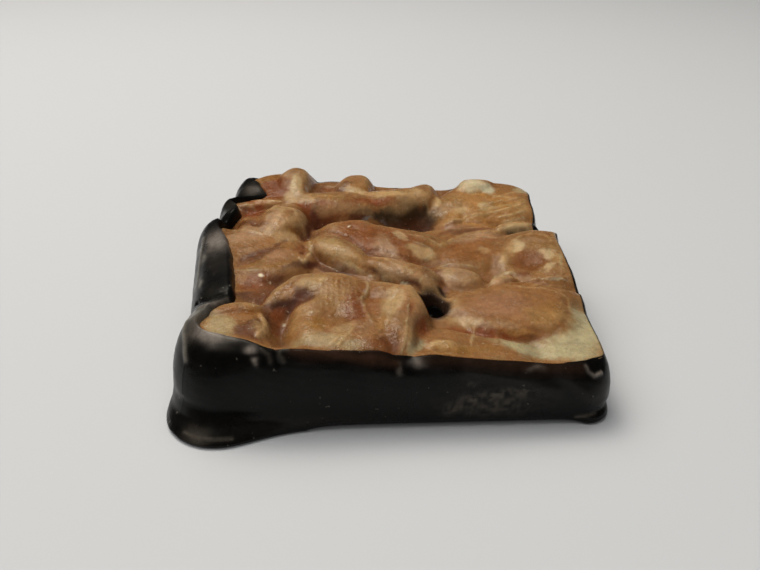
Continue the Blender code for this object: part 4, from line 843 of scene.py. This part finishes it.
class Noise:
    """Smooth seeded gradient noise in the plane, between about -1 and 1."""

    def __init__(self, seed):
        random = np.random.RandomState(seed)
        self.order = random.permutation(256)
        angle = random.rand(256) * 2 * math.pi
        self.slopes = np.stack([np.cos(angle), np.sin(angle)], axis=-1)

    def __call__(self, x, y, size):
        x, y = np.asarray(x) / size, np.asarray(y) / size
        x0, y0 = np.floor(x).astype(int), np.floor(y).astype(int)
        fx, fy = x - x0, y - y0
        u, v = fx ** 3 * (fx * (fx * 6 - 15) + 10), fy ** 3 * (fy * (fy * 6 - 15) + 10)

        def corner(i, j):
            slope = self.slopes[self.order[(self.order[(x0 + i) % 256] + y0 + j) % 256]]
            return slope[..., 0] * (fx - i) + slope[..., 1] * (fy - j)

        low = corner(0, 0) * (1 - u) + corner(1, 0) * u
        high = corner(0, 1) * (1 - u) + corner(1, 1) * u
        return 1.5 * (low * (1 - v) + high * v)


def waves(noise, x, y, layers):
    """Layers of noise added up, each given by its size and its length."""
    return sum(size * noise(x, y, length) for size, length in layers)


def shifted(x, y, first, second, layers):
    """Places in the plan after an uneven shift made of two layers of noise."""
    (first_size, first_length), (second_size, second_length) = layers
    wx = x + first_size * first(x, y, first_length) + second_size * second(x, y, second_length)
    ax = x + SHIFT_APART
    wy = y + first_size * first(ax, y, first_length) + second_size * second(ax, y, second_length)
    return wx, wy


def blurred(grid, passes):
    """The grid after repeated averaging with its neighbours."""
    for _ in range(passes):
        padded = np.pad(grid, 1, mode="edge")
        rows = (padded[:-2] + 2 * padded[1:-1] + padded[2:]) / 4
        grid = (rows[:, :-2] + 2 * rows[:, 1:-1] + rows[:, 2:]) / 4
    return grid


def frayed(x, y):
    """Places shifted a little, for lines that waver, and the strength of the lines there."""
    places = np.stack(shifted(x, y, Noise(33), Noise(34), LINE_SHIFT), axis=-1)
    return places, LINE_STRENGTH + LINE_PATCHINESS * Noise(35)(x, y, LINE_PATCH)


def line_share(places, spots, width):
    """1 along a chain of points in the plan or in space, less beside it, for each of the places."""
    spots = np.array(spots)
    nearest = np.full(places.shape[:-1], 1e9)
    for start, end in zip(spots[:-1], spots[1:]):
        along = end - start
        share = np.clip(((places - start) @ along) / (along @ along), 0, 1)[..., None]
        nearest = np.minimum(nearest, np.linalg.norm(places - start - share * along, axis=-1))
    return bump(nearest, width)


def linear(red, green, blue):
    """A colour given in 0 to 255 display values, as the shader's linear values."""
    shares = [value / 255 for value in (red, green, blue)]
    return tuple(((s + 0.055) / 1.055) ** 2.4 if s > 0.04045 else s / 12.92 for s in shares)


def painted(colour, share, tone):
    """The colours of points with a tone of the palette laid over a share of each."""
    share = np.clip(share, 0, 1)[..., None]
    return colour * (1 - share) + np.array(linear(*PALETTE[tone])) * share


def caramel_colours(x, y, height):
    """Colour of each point of the caramel: patches and lines of tone with painted highlights and shade,
    over a ground shaded by the relief, with painted shade down the well.
    """
    base = np.array(linear(*PALETTE["base"]))
    colour = np.broadcast_to(base, x.shape + (3,))
    wx, wy = shifted(x, y, Noise(31), Noise(32), PATCH_SHIFT)
    for _, cx, cy, length, width, turn, tone, strength in TONES:
        reach = oval_reach(wx, wy, cx, cy, length, width, turn)
        colour = painted(colour, strength * smooth_step(*PATCH_EDGE, reach), tone)
    places, patchy = frayed(x, y)
    for _, tone, strength, width, _, spots in LINES:
        colour = painted(colour, strength * patchy * line_share(places, spots, width), tone)
    colour = base * (colour / base) ** CONTRAST
    # Redder hollows and paler crests, partly the caramel's own tone and partly painted shade and highlight
    for tone, strength, low, high, passes in RELIEF_SHADES:
        above = height - blurred(height, passes)
        colour = painted(colour, strength * smooth_step(low, high, above), tone)
    # Painted shade round the mouth of the well and down it
    return painted(colour, smooth_step(*WELL_SHADE, well_reach(x, y)), "shade_black")


def new_piece(name, points, faces, colours, material, replaced=None):
    """A smooth mesh piece in metres with a colour on each of its points, riding on the root."""
    mesh = bpy.data.meshes.new(name)
    points = np.array(points, float)
    points[:, :2] += SHIFT
    mesh.from_pydata((points * MM).tolist(), [], faces)
    mesh.validate()
    layer = mesh.attributes.new("tone", "FLOAT_COLOR", "POINT")
    layer.data.foreach_set("color", np.column_stack([colours, np.ones(len(colours))]).ravel())
    mesh.shade_smooth()
    obj = bpy.data.objects.new(name, mesh)
    bpy.context.scene.collection.objects.link(obj)
    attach(obj, "root")
    if replaced:
        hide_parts(replaced)
    mesh.materials.append(material)


def quads_between(lower, upper):
    """Quads between two closed rings of point indices, facing out when upper is above lower."""
    after_lower, after_upper = np.roll(lower, -1), np.roll(upper, -1)
    return np.stack([lower, after_lower, after_upper, upper], axis=1).tolist()


def under_lap(widest, caramel):
    """How far the foot of the slab reaches out under the chocolate that laps over it."""
    lap = np.linalg.norm(widest - caramel, axis=1)
    return np.clip(lap - PLAIN_LAP, 0, None) * FOOT_SHARE


def slab_height(x, y, distance):
    """Height of the slab's top with its fine relief, its thin edge at the right and the well's shaft."""
    height = top_height(x, y, distance)
    inside = smooth_step(0, FINE_RUN, distance)
    height += inside * (waves(Noise(3), x, y, WAXY_WAVES) + waves(Noise(8), x, y, FINE_WAVES))
    places, patchy = frayed(x, y)
    for _, _, _, width, rise, spots in LINES:
        height += inside * patchy * rise * line_share(places, spots, width)
    last_row = np.pad(np.zeros((SEGMENTS - 1, SEGMENTS - 1)), 1, constant_values=1)
    sink = THIN_SINK * smooth_step(*THIN_SINK_RUN, distance) + LAST_ROW_SINK * last_row
    height -= sink * smooth_step(*THIN_SIDE, x)
    well = well_reach(x, y)
    shaft = SHAFT_BOTTOM + SHAFT_SLOPE * np.clip(well - 1.0, 0, None)
    return np.where(well < SHAFT_SHARE, np.minimum(height, shaft), height)


def make_slab(widest, caramel, normal):
    """The almond and caramel slab: a fine grid for its top, and a plain foot inside the chocolate."""
    gap = np.linalg.norm(widest - caramel, axis=1)
    border = caramel - normal * np.clip(THIN_RIM - gap, 0, None)[:, None]
    grid = fitted_grid(border)
    x, y = grid[..., 0], grid[..., 1]
    height = slab_height(x, y, rim_distance(x, y, caramel))
    points = np.stack([x, y, height], axis=-1).reshape(-1, 3)
    index = np.arange(len(points)).reshape(SEGMENTS + 1, SEGMENTS + 1)
    faces = np.stack([index[:-1, :-1], index[:-1, 1:], index[1:, 1:], index[1:, :-1]], axis=-1)
    faces = faces.reshape(-1, 4).tolist()
    foot = border + normal * under_lap(widest, caramel)[:, None]
    foot = np.column_stack([foot, np.full(len(foot), FLOOR)])
    foot_ring = np.arange(len(foot)) + len(points)
    faces += quads_between(foot_ring, ring_index())
    faces.append(foot_ring[::-1].tolist())
    colours = caramel_colours(x, y, height).reshape(-1, 3)
    colours = np.concatenate([colours, np.full((len(foot), 3), BURIED)])
    new_piece("almond_caramel_top", np.concatenate([points, foot]), faces, colours, caramel_material(),
              "almond_caramel_slab")


def shoulder_rings(lip, lip_height, crest, widest, square):
    """Rings of the coat from its lip on the caramel, over the rim, out to the widest line."""
    toward = widest - lip
    rings = []
    for step in np.linspace(0.0, 1.0, SHOULDER_RINGS + 1)[1:] ** RING_GROWTH:
        angle = step * math.pi / 2
        share = math.sin(angle) ** (OUTWARD - square)
        fall = max(math.cos(angle), 0.0) ** (DOWNWARD - square)
        out = share * np.linalg.norm(toward, axis=1)
        dip = (crest - lip_height) * (1 - smooth_step(0.0, LIP_RUN, out))
        rings.append((lip + toward * share[:, None], WIDEST_HEIGHT + (crest - WIDEST_HEIGHT) * fall - dip))
    return rings


def base_rings(widest, normal):
    """Rings of the coat from the widest line down over the feet to the flat base."""
    foot = np.zeros(len(widest))
    for x, y, reach, half_width in FEET:
        foot = foot + reach * near(widest, x, y, half_width)
    rests = np.clip(foot / FOOT_RESTS, 0, 1)
    lift = BASE_LIFT * (1 - rests)
    x, y, depth, half_width, waist_height, waist_half = WAIST
    waist = depth * near(widest, x, y, half_width)
    levels, plain, stretch = np.array(BASE_PROFILE).T
    rings = []
    for height in BASE_LEVELS:
        inset = np.interp(height, levels, plain) * (1 - FOOT_FULLNESS * rests)
        out = inset + np.interp(height, levels, stretch) * foot
        out = out - waist * bump(height - waist_height, waist_half)
        below = 1 - min(height, BASE_HEIGHT) / BASE_HEIGHT
        rings.append((widest + normal * out[:, None], height + lift * below))
    rings.append((widest - normal * BASE_INSET, np.zeros(len(widest))))
    return rings


def coat_profile(widest, caramel, normal):
    """Rings of the coat, from the floor under the slab, up and over the rim, down to the base."""
    ragged = waves(Noise(21), caramel[:, 0] * TUCK_STRETCH, caramel[:, 1] * TUCK_STRETCH, TUCK_WAVES)
    tuck = TUCK + ragged
    lip = caramel - normal * tuck[:, None]
    lip_height = top_height(lip[:, 0], lip[:, 1], tuck)
    left = np.clip(-normal[:, 0], 0, None)
    round_off = np.zeros(len(lip))
    for x, y, amount, half_width in SOFT_CORNERS:
        round_off = round_off + amount * near(widest, x, y, half_width)
    line_height = top_height(caramel[:, 0], caramel[:, 1], 0.0)
    sunk = rim_height(caramel[:, 0], caramel[:, 1]) - line_height
    crest = line_height + LIP_RISE + left * (LEFT_RISE + LEFT_LEVEL * sunk)
    inner_foot = caramel + normal * under_lap(widest, caramel)[:, None]
    rings = [(inner_foot, np.full(len(lip), FLOOR)), (lip, lip_height - LIP_DIP)]
    rings += shoulder_rings(lip, lip_height, crest, widest, LEFT_SQUARE * left - round_off)
    return rings + base_rings(widest, normal)


def coat_marks(points):
    """Colour and rise of each point of the chocolate: painted sheens and reflections, dust, creases with
    painted highlights and shade, and small swellings.
    """
    x, y, z = points.T
    cloud, grit = Noise(41), Noise(42)
    (along_size, along_length), (up_size, up_length) = SPOT_SHIFT
    wx = x + along_size * cloud(x + z, y, along_length)
    wz = z + up_size * cloud(x, y + z + 30, up_length)
    colour = np.tile(linear(*PALETTE["night"]), (len(x), 1))
    # The noise is read in skewed directions, so that it changes with height too
    rise = SWELL[0] * cloud(x + 0.7 * z, y - 0.7 * z, SWELL[1])
    rise += DIMPLE[0] * cloud(x + z, y + 2 * z, DIMPLE[1])
    coarse, fine = DUST_LENGTHS
    dust = grit(x * 0.7 + y, z * 1.3, coarse) + DUST_FINE * grit(x + 9, z, fine)
    marks = []
    for _, cx, cy, cz, wide, tall, tone, strength, height in SPOTS:
        reach = np.hypot(np.hypot(wx - cx, y - cy) / wide, (wz - cz) / tall)
        marks.append((bump(reach, SPOT_EDGE), tone, strength, height))
    for _, tone, strength, width, height, spots in FOLDS:
        marks.append((line_share(points, spots, width), tone, strength, height))
    for share, tone, strength, height in marks:
        if tone == "dust":
            share = share * smooth_step(*DUST_COVER, dust)
        colour = painted(colour, strength * share, tone)
        rise = rise + height * share
    return colour, rise * smooth_step(*SWELL_START, z)


def make_coat(rings, material):
    """The chocolate coat as one closed shell with a floor under the slab."""
    count = len(rings[0][0])
    points = np.concatenate([np.column_stack(ring) for ring in rings])
    order = [np.arange(count) + i * count for i in range(len(rings))]
    faces = []
    for inner, outer in zip(order, order[1:]):
        faces += quads_between(outer, inner)
    faces.append(order[0].tolist())
    faces.append(order[-1][::-1].tolist())
    colours, rise = coat_marks(points)
    outward = np.zeros_like(points)
    for before, here, after in zip(order, order[1:], order[2:]):
        along = np.roll(points[here], -1, axis=0) - np.roll(points[here], 1, axis=0)
        face = np.cross(points[after] - points[before], along)
        outward[here] = face / np.maximum(np.linalg.norm(face, axis=1), 1e-6)[:, None]
    points = points + outward * rise[:, None]
    points[:, 2] = np.maximum(points[:, 2], 0)
    new_piece("chocolate_shell", points, faces, colours, material, "chocolate_coat")


def make_well(material):
    """The chocolate that shows in the well: a post whose glossy top climbs the far wall."""
    cx, cy, half_width, half_length, turn = WELL
    c, s = math.cos(math.radians(turn)), math.sin(math.radians(turn))
    angles = np.arange(WELL_SIDES) * 2 * math.pi / WELL_SIDES
    rows = []
    for row in range(WELL_ROWS):
        share = POST_MARGIN * (1 - row / WELL_ROWS)
        a, b = half_width * share * np.cos(angles), half_length * share * np.sin(angles)
        far = 0.5 + 0.5 * share * np.sin(angles + POST_LEAN)
        height = WELL_LOW + (WELL_HIGH - WELL_LOW) * far ** 2 + POST_BRIM * share ** 6
        rows.append(np.column_stack([cx + c * a - s * b, cy + s * a + c * b, height]))
    bottom = rows[0] * (1, 1, 0) + (0, 0, FLOOR - 1)
    middle = [(cx, cy, WELL_LOW + (WELL_HIGH - WELL_LOW) / 4)]
    points = np.concatenate([bottom, *rows, middle])
    order = [np.arange(WELL_SIDES) + i * WELL_SIDES for i in range(WELL_ROWS + 1)]
    faces = [order[0][::-1].tolist()]
    for lower, upper in zip(order, order[1:]):
        faces += quads_between(lower, upper)
    for start, end in zip(order[-1], np.roll(order[-1], -1)):
        faces.append([int(start), int(end), len(points) - 1])
    colours = np.tile(linear(*PALETTE["night"]), (len(points), 1))
    new_piece("well_chocolate", points, faces, colours, material)


class Nodes:
    """Short calls for building a material's node tree."""

    def __init__(self, name):
        self.material = bpy.data.materials.new(name)
        self.material.use_nodes = True
        self.tree = self.material.node_tree
        self.shader = self.tree.nodes["Principled BSDF"]

    def link(self, source, target):
        self.tree.links.new(source, target)

    def noise(self, scale, detail, roughness=0.55):
        """Noise in the object's own space, scale in cycles per metre."""
        place = self.tree.nodes.new("ShaderNodeTexCoord")
        node = self.tree.nodes.new("ShaderNodeTexNoise")
        node.inputs["Scale"].default_value = scale
        node.inputs["Detail"].default_value = detail
        node.inputs["Roughness"].default_value = roughness
        self.link(place.outputs["Object"], node.inputs["Vector"])
        return node.outputs["Fac"]

    def span(self, source, low, high, to_low, to_high):
        """The source between low and high, turned smoothly into the other two values."""
        node = self.tree.nodes.new("ShaderNodeMapRange")
        node.interpolation_type = "SMOOTHSTEP"
        self.link(source, node.inputs["Value"])
        for key, number in (("From Min", low), ("From Max", high), ("To Min", to_low), ("To Max", to_high)):
            node.inputs[key].default_value = number
        return node.outputs["Result"]

    def maths(self, operation, first, second):
        """Two sources, or a source and a number, put together."""
        node = self.tree.nodes.new("ShaderNodeMath")
        node.operation = operation
        for socket, source in zip(node.inputs, (first, second)):
            if isinstance(source, (int, float)):
                socket.default_value = source
            else:
                self.link(source, socket)
        return node.outputs["Value"]

    def tones(self, brightness):
        """The colours stored on the mesh's points, made lighter or darker, and how light they are."""
        stored = self.tree.nodes.new("ShaderNodeAttribute")
        stored.attribute_name = "tone"
        shade = self.tree.nodes.new("ShaderNodeVectorMath")
        shade.operation = "SCALE"
        self.link(stored.outputs["Color"], shade.inputs[0])
        self.link(brightness, shade.inputs["Scale"])
        return shade.outputs["Vector"], stored.outputs["Fac"]

    def base_colour(self, ground, specks, tone):
        """The ground as the surface's colour, with specks of one tone over it."""
        node = self.tree.nodes.new("ShaderNodeMix")
        node.data_type = "RGBA"
        self.link(specks, node.inputs["Factor"])
        under, over = [socket for socket in node.inputs if socket.type == "RGBA"]
        self.link(ground, under)
        over.default_value = (*tone, 1.0)
        result = [socket for socket in node.outputs if socket.type == "RGBA"][0]
        self.link(result, self.shader.inputs["Base Color"])

    def bumped(self, height, distance, strength):
        """Fine bumps on the surface, too small for the mesh."""
        node = self.tree.nodes.new("ShaderNodeBump")
        node.inputs["Strength"].default_value = strength
        node.inputs["Distance"].default_value = distance
        self.link(height, node.inputs["Height"])
        self.link(node.outputs["Normal"], self.shader.inputs["Normal"])


def caramel_material():
    """Caramel and almond: the stored tones, clouded, with fine grain and pale specks, under a glaze."""
    n = Nodes("glazed_caramel")
    cloud = n.span(n.noise(170, 5, 0.62), 0.32, 0.68, 0.82, 1.06)
    grain = n.span(n.noise(900, 4, 0.7), 0.3, 0.7, 0.86, 1.15)
    ground, lightness = n.tones(n.maths("MULTIPLY", cloud, grain))
    specks = n.span(n.noise(1500, 2, 0.5), 0.66, 0.74, 0.0, 0.35)
    n.base_colour(ground, specks, (0.52, 0.40, 0.27))
    # Dark hollows are dull, and elsewhere the glaze changes from place to place
    dark = n.span(lightness, 0.02, 0.09, 0.42, 0.0)
    glaze = n.span(n.noise(320, 4), 0.35, 0.65, 0.18, 0.42)
    n.link(n.maths("ADD", glaze, dark), n.shader.inputs["Roughness"])
    n.shader.inputs["Subsurface Weight"].default_value = 0.25
    n.shader.inputs["Subsurface Radius"].default_value = (1.0, 0.45, 0.2)
    n.shader.inputs["Subsurface Scale"].default_value = 0.0018
    n.shader.inputs["Specular IOR Level"].default_value = 0.4
    grit = n.maths("ADD", n.noise(1500, 4, 0.6), n.maths("MULTIPLY", n.noise(520, 4, 0.6), 2.5))
    n.bumped(grit, 0.00016, 0.6)
    return n.material


def chocolate_material():
    """Set chocolate: the stored tones with fine grain and a few crumbs, satin to the light."""
    n = Nodes("set_chocolate")
    ground, _ = n.tones(n.span(n.noise(900, 5, 0.7), 0.3, 0.7, 0.8, 1.25))
    crumbs = n.span(n.noise(1100, 1, 0.4), 0.745, 0.79, 0.0, 0.32)
    n.base_colour(ground, crumbs, (0.19, 0.17, 0.14))
    n.link(n.span(n.noise(260, 4), 0.3, 0.7, 0.25, 0.38), n.shader.inputs["Roughness"])
    n.shader.inputs["Specular IOR Level"].default_value = 0.15
    n.bumped(n.noise(420, 5), 0.00010, 0.4)
    return n.material


def make_floor():
    """The pale sheet on which the florentine lies."""
    (left, front), (right, back) = FLOOR_CORNERS
    mesh = bpy.data.meshes.new("floor")
    corners = [(left, front, 0.0), (right, front, 0.0), (right, back, 0.0), (left, back, 0.0)]
    mesh.from_pydata(corners, [], [(0, 1, 2, 3)])
    floor = bpy.data.objects.new("floor", mesh)
    bpy.context.scene.collection.objects.link(floor)
    n = Nodes("floor_paper")
    n.shader.inputs["Base Color"].default_value = FLOOR_COLOUR
    n.shader.inputs["Roughness"].default_value = FLOOR_ROUGHNESS
    floor.data.materials.append(n.material)


def make_lights():
    """Soft lights from above, and a faint even light all round."""
    world = bpy.data.worlds.new("studio")
    world.use_nodes = True
    background = world.node_tree.nodes["Background"]
    background.inputs["Color"].default_value = WORLD_COLOUR
    background.inputs["Strength"].default_value = WORLD_STRENGTH
    bpy.context.scene.world = world
    for name, place, size, power, colour, reflected in LIGHTS:
        data = bpy.data.lights.new(name, "AREA")
        data.shape = "RECTANGLE"
        data.size, data.size_y = size
        data.energy = power
        data.color = colour
        light = bpy.data.objects.new(name, data)
        bpy.context.scene.collection.objects.link(light)
        light.location = place
        aim = Vector(LIGHT_AIM) - Vector(place)
        light.rotation_euler = aim.to_track_quat("-Z", "Y").to_euler()
        light.visible_glossy = reflected


def make_camera():
    """The camera of the photo."""
    data = bpy.data.cameras.new("camera")
    data.sensor_width = SENSOR_WIDTH
    data.lens = FOCAL_PIXELS / IMAGE_WIDTH * SENSOR_WIDTH
    data.clip_start = 0.005
    camera = bpy.data.objects.new("camera", data)
    bpy.context.scene.collection.objects.link(camera)
    x, y, z = CAMERA_PLACE
    camera.location = ((x + SHIFT[0]) * MM, (y + SHIFT[1]) * MM, z * MM)
    camera.rotation_euler = (math.radians(90 - CAMERA_PITCH), 0, 0)
    bpy.context.scene.camera = camera


bpy.context.scene.view_settings.view_transform = "Standard"
widest, caramel, normal = outlines()
rings = coat_profile(widest, caramel, normal)
every = np.concatenate([plan for plan, _ in rings])
SHIFT = -(every.min(axis=0) + every.max(axis=0)) / 2
make_camera()
make_floor()
make_lights()
chocolate = chocolate_material()
make_slab(widest, caramel, normal)
make_coat(rings, chocolate)
make_well(chocolate)
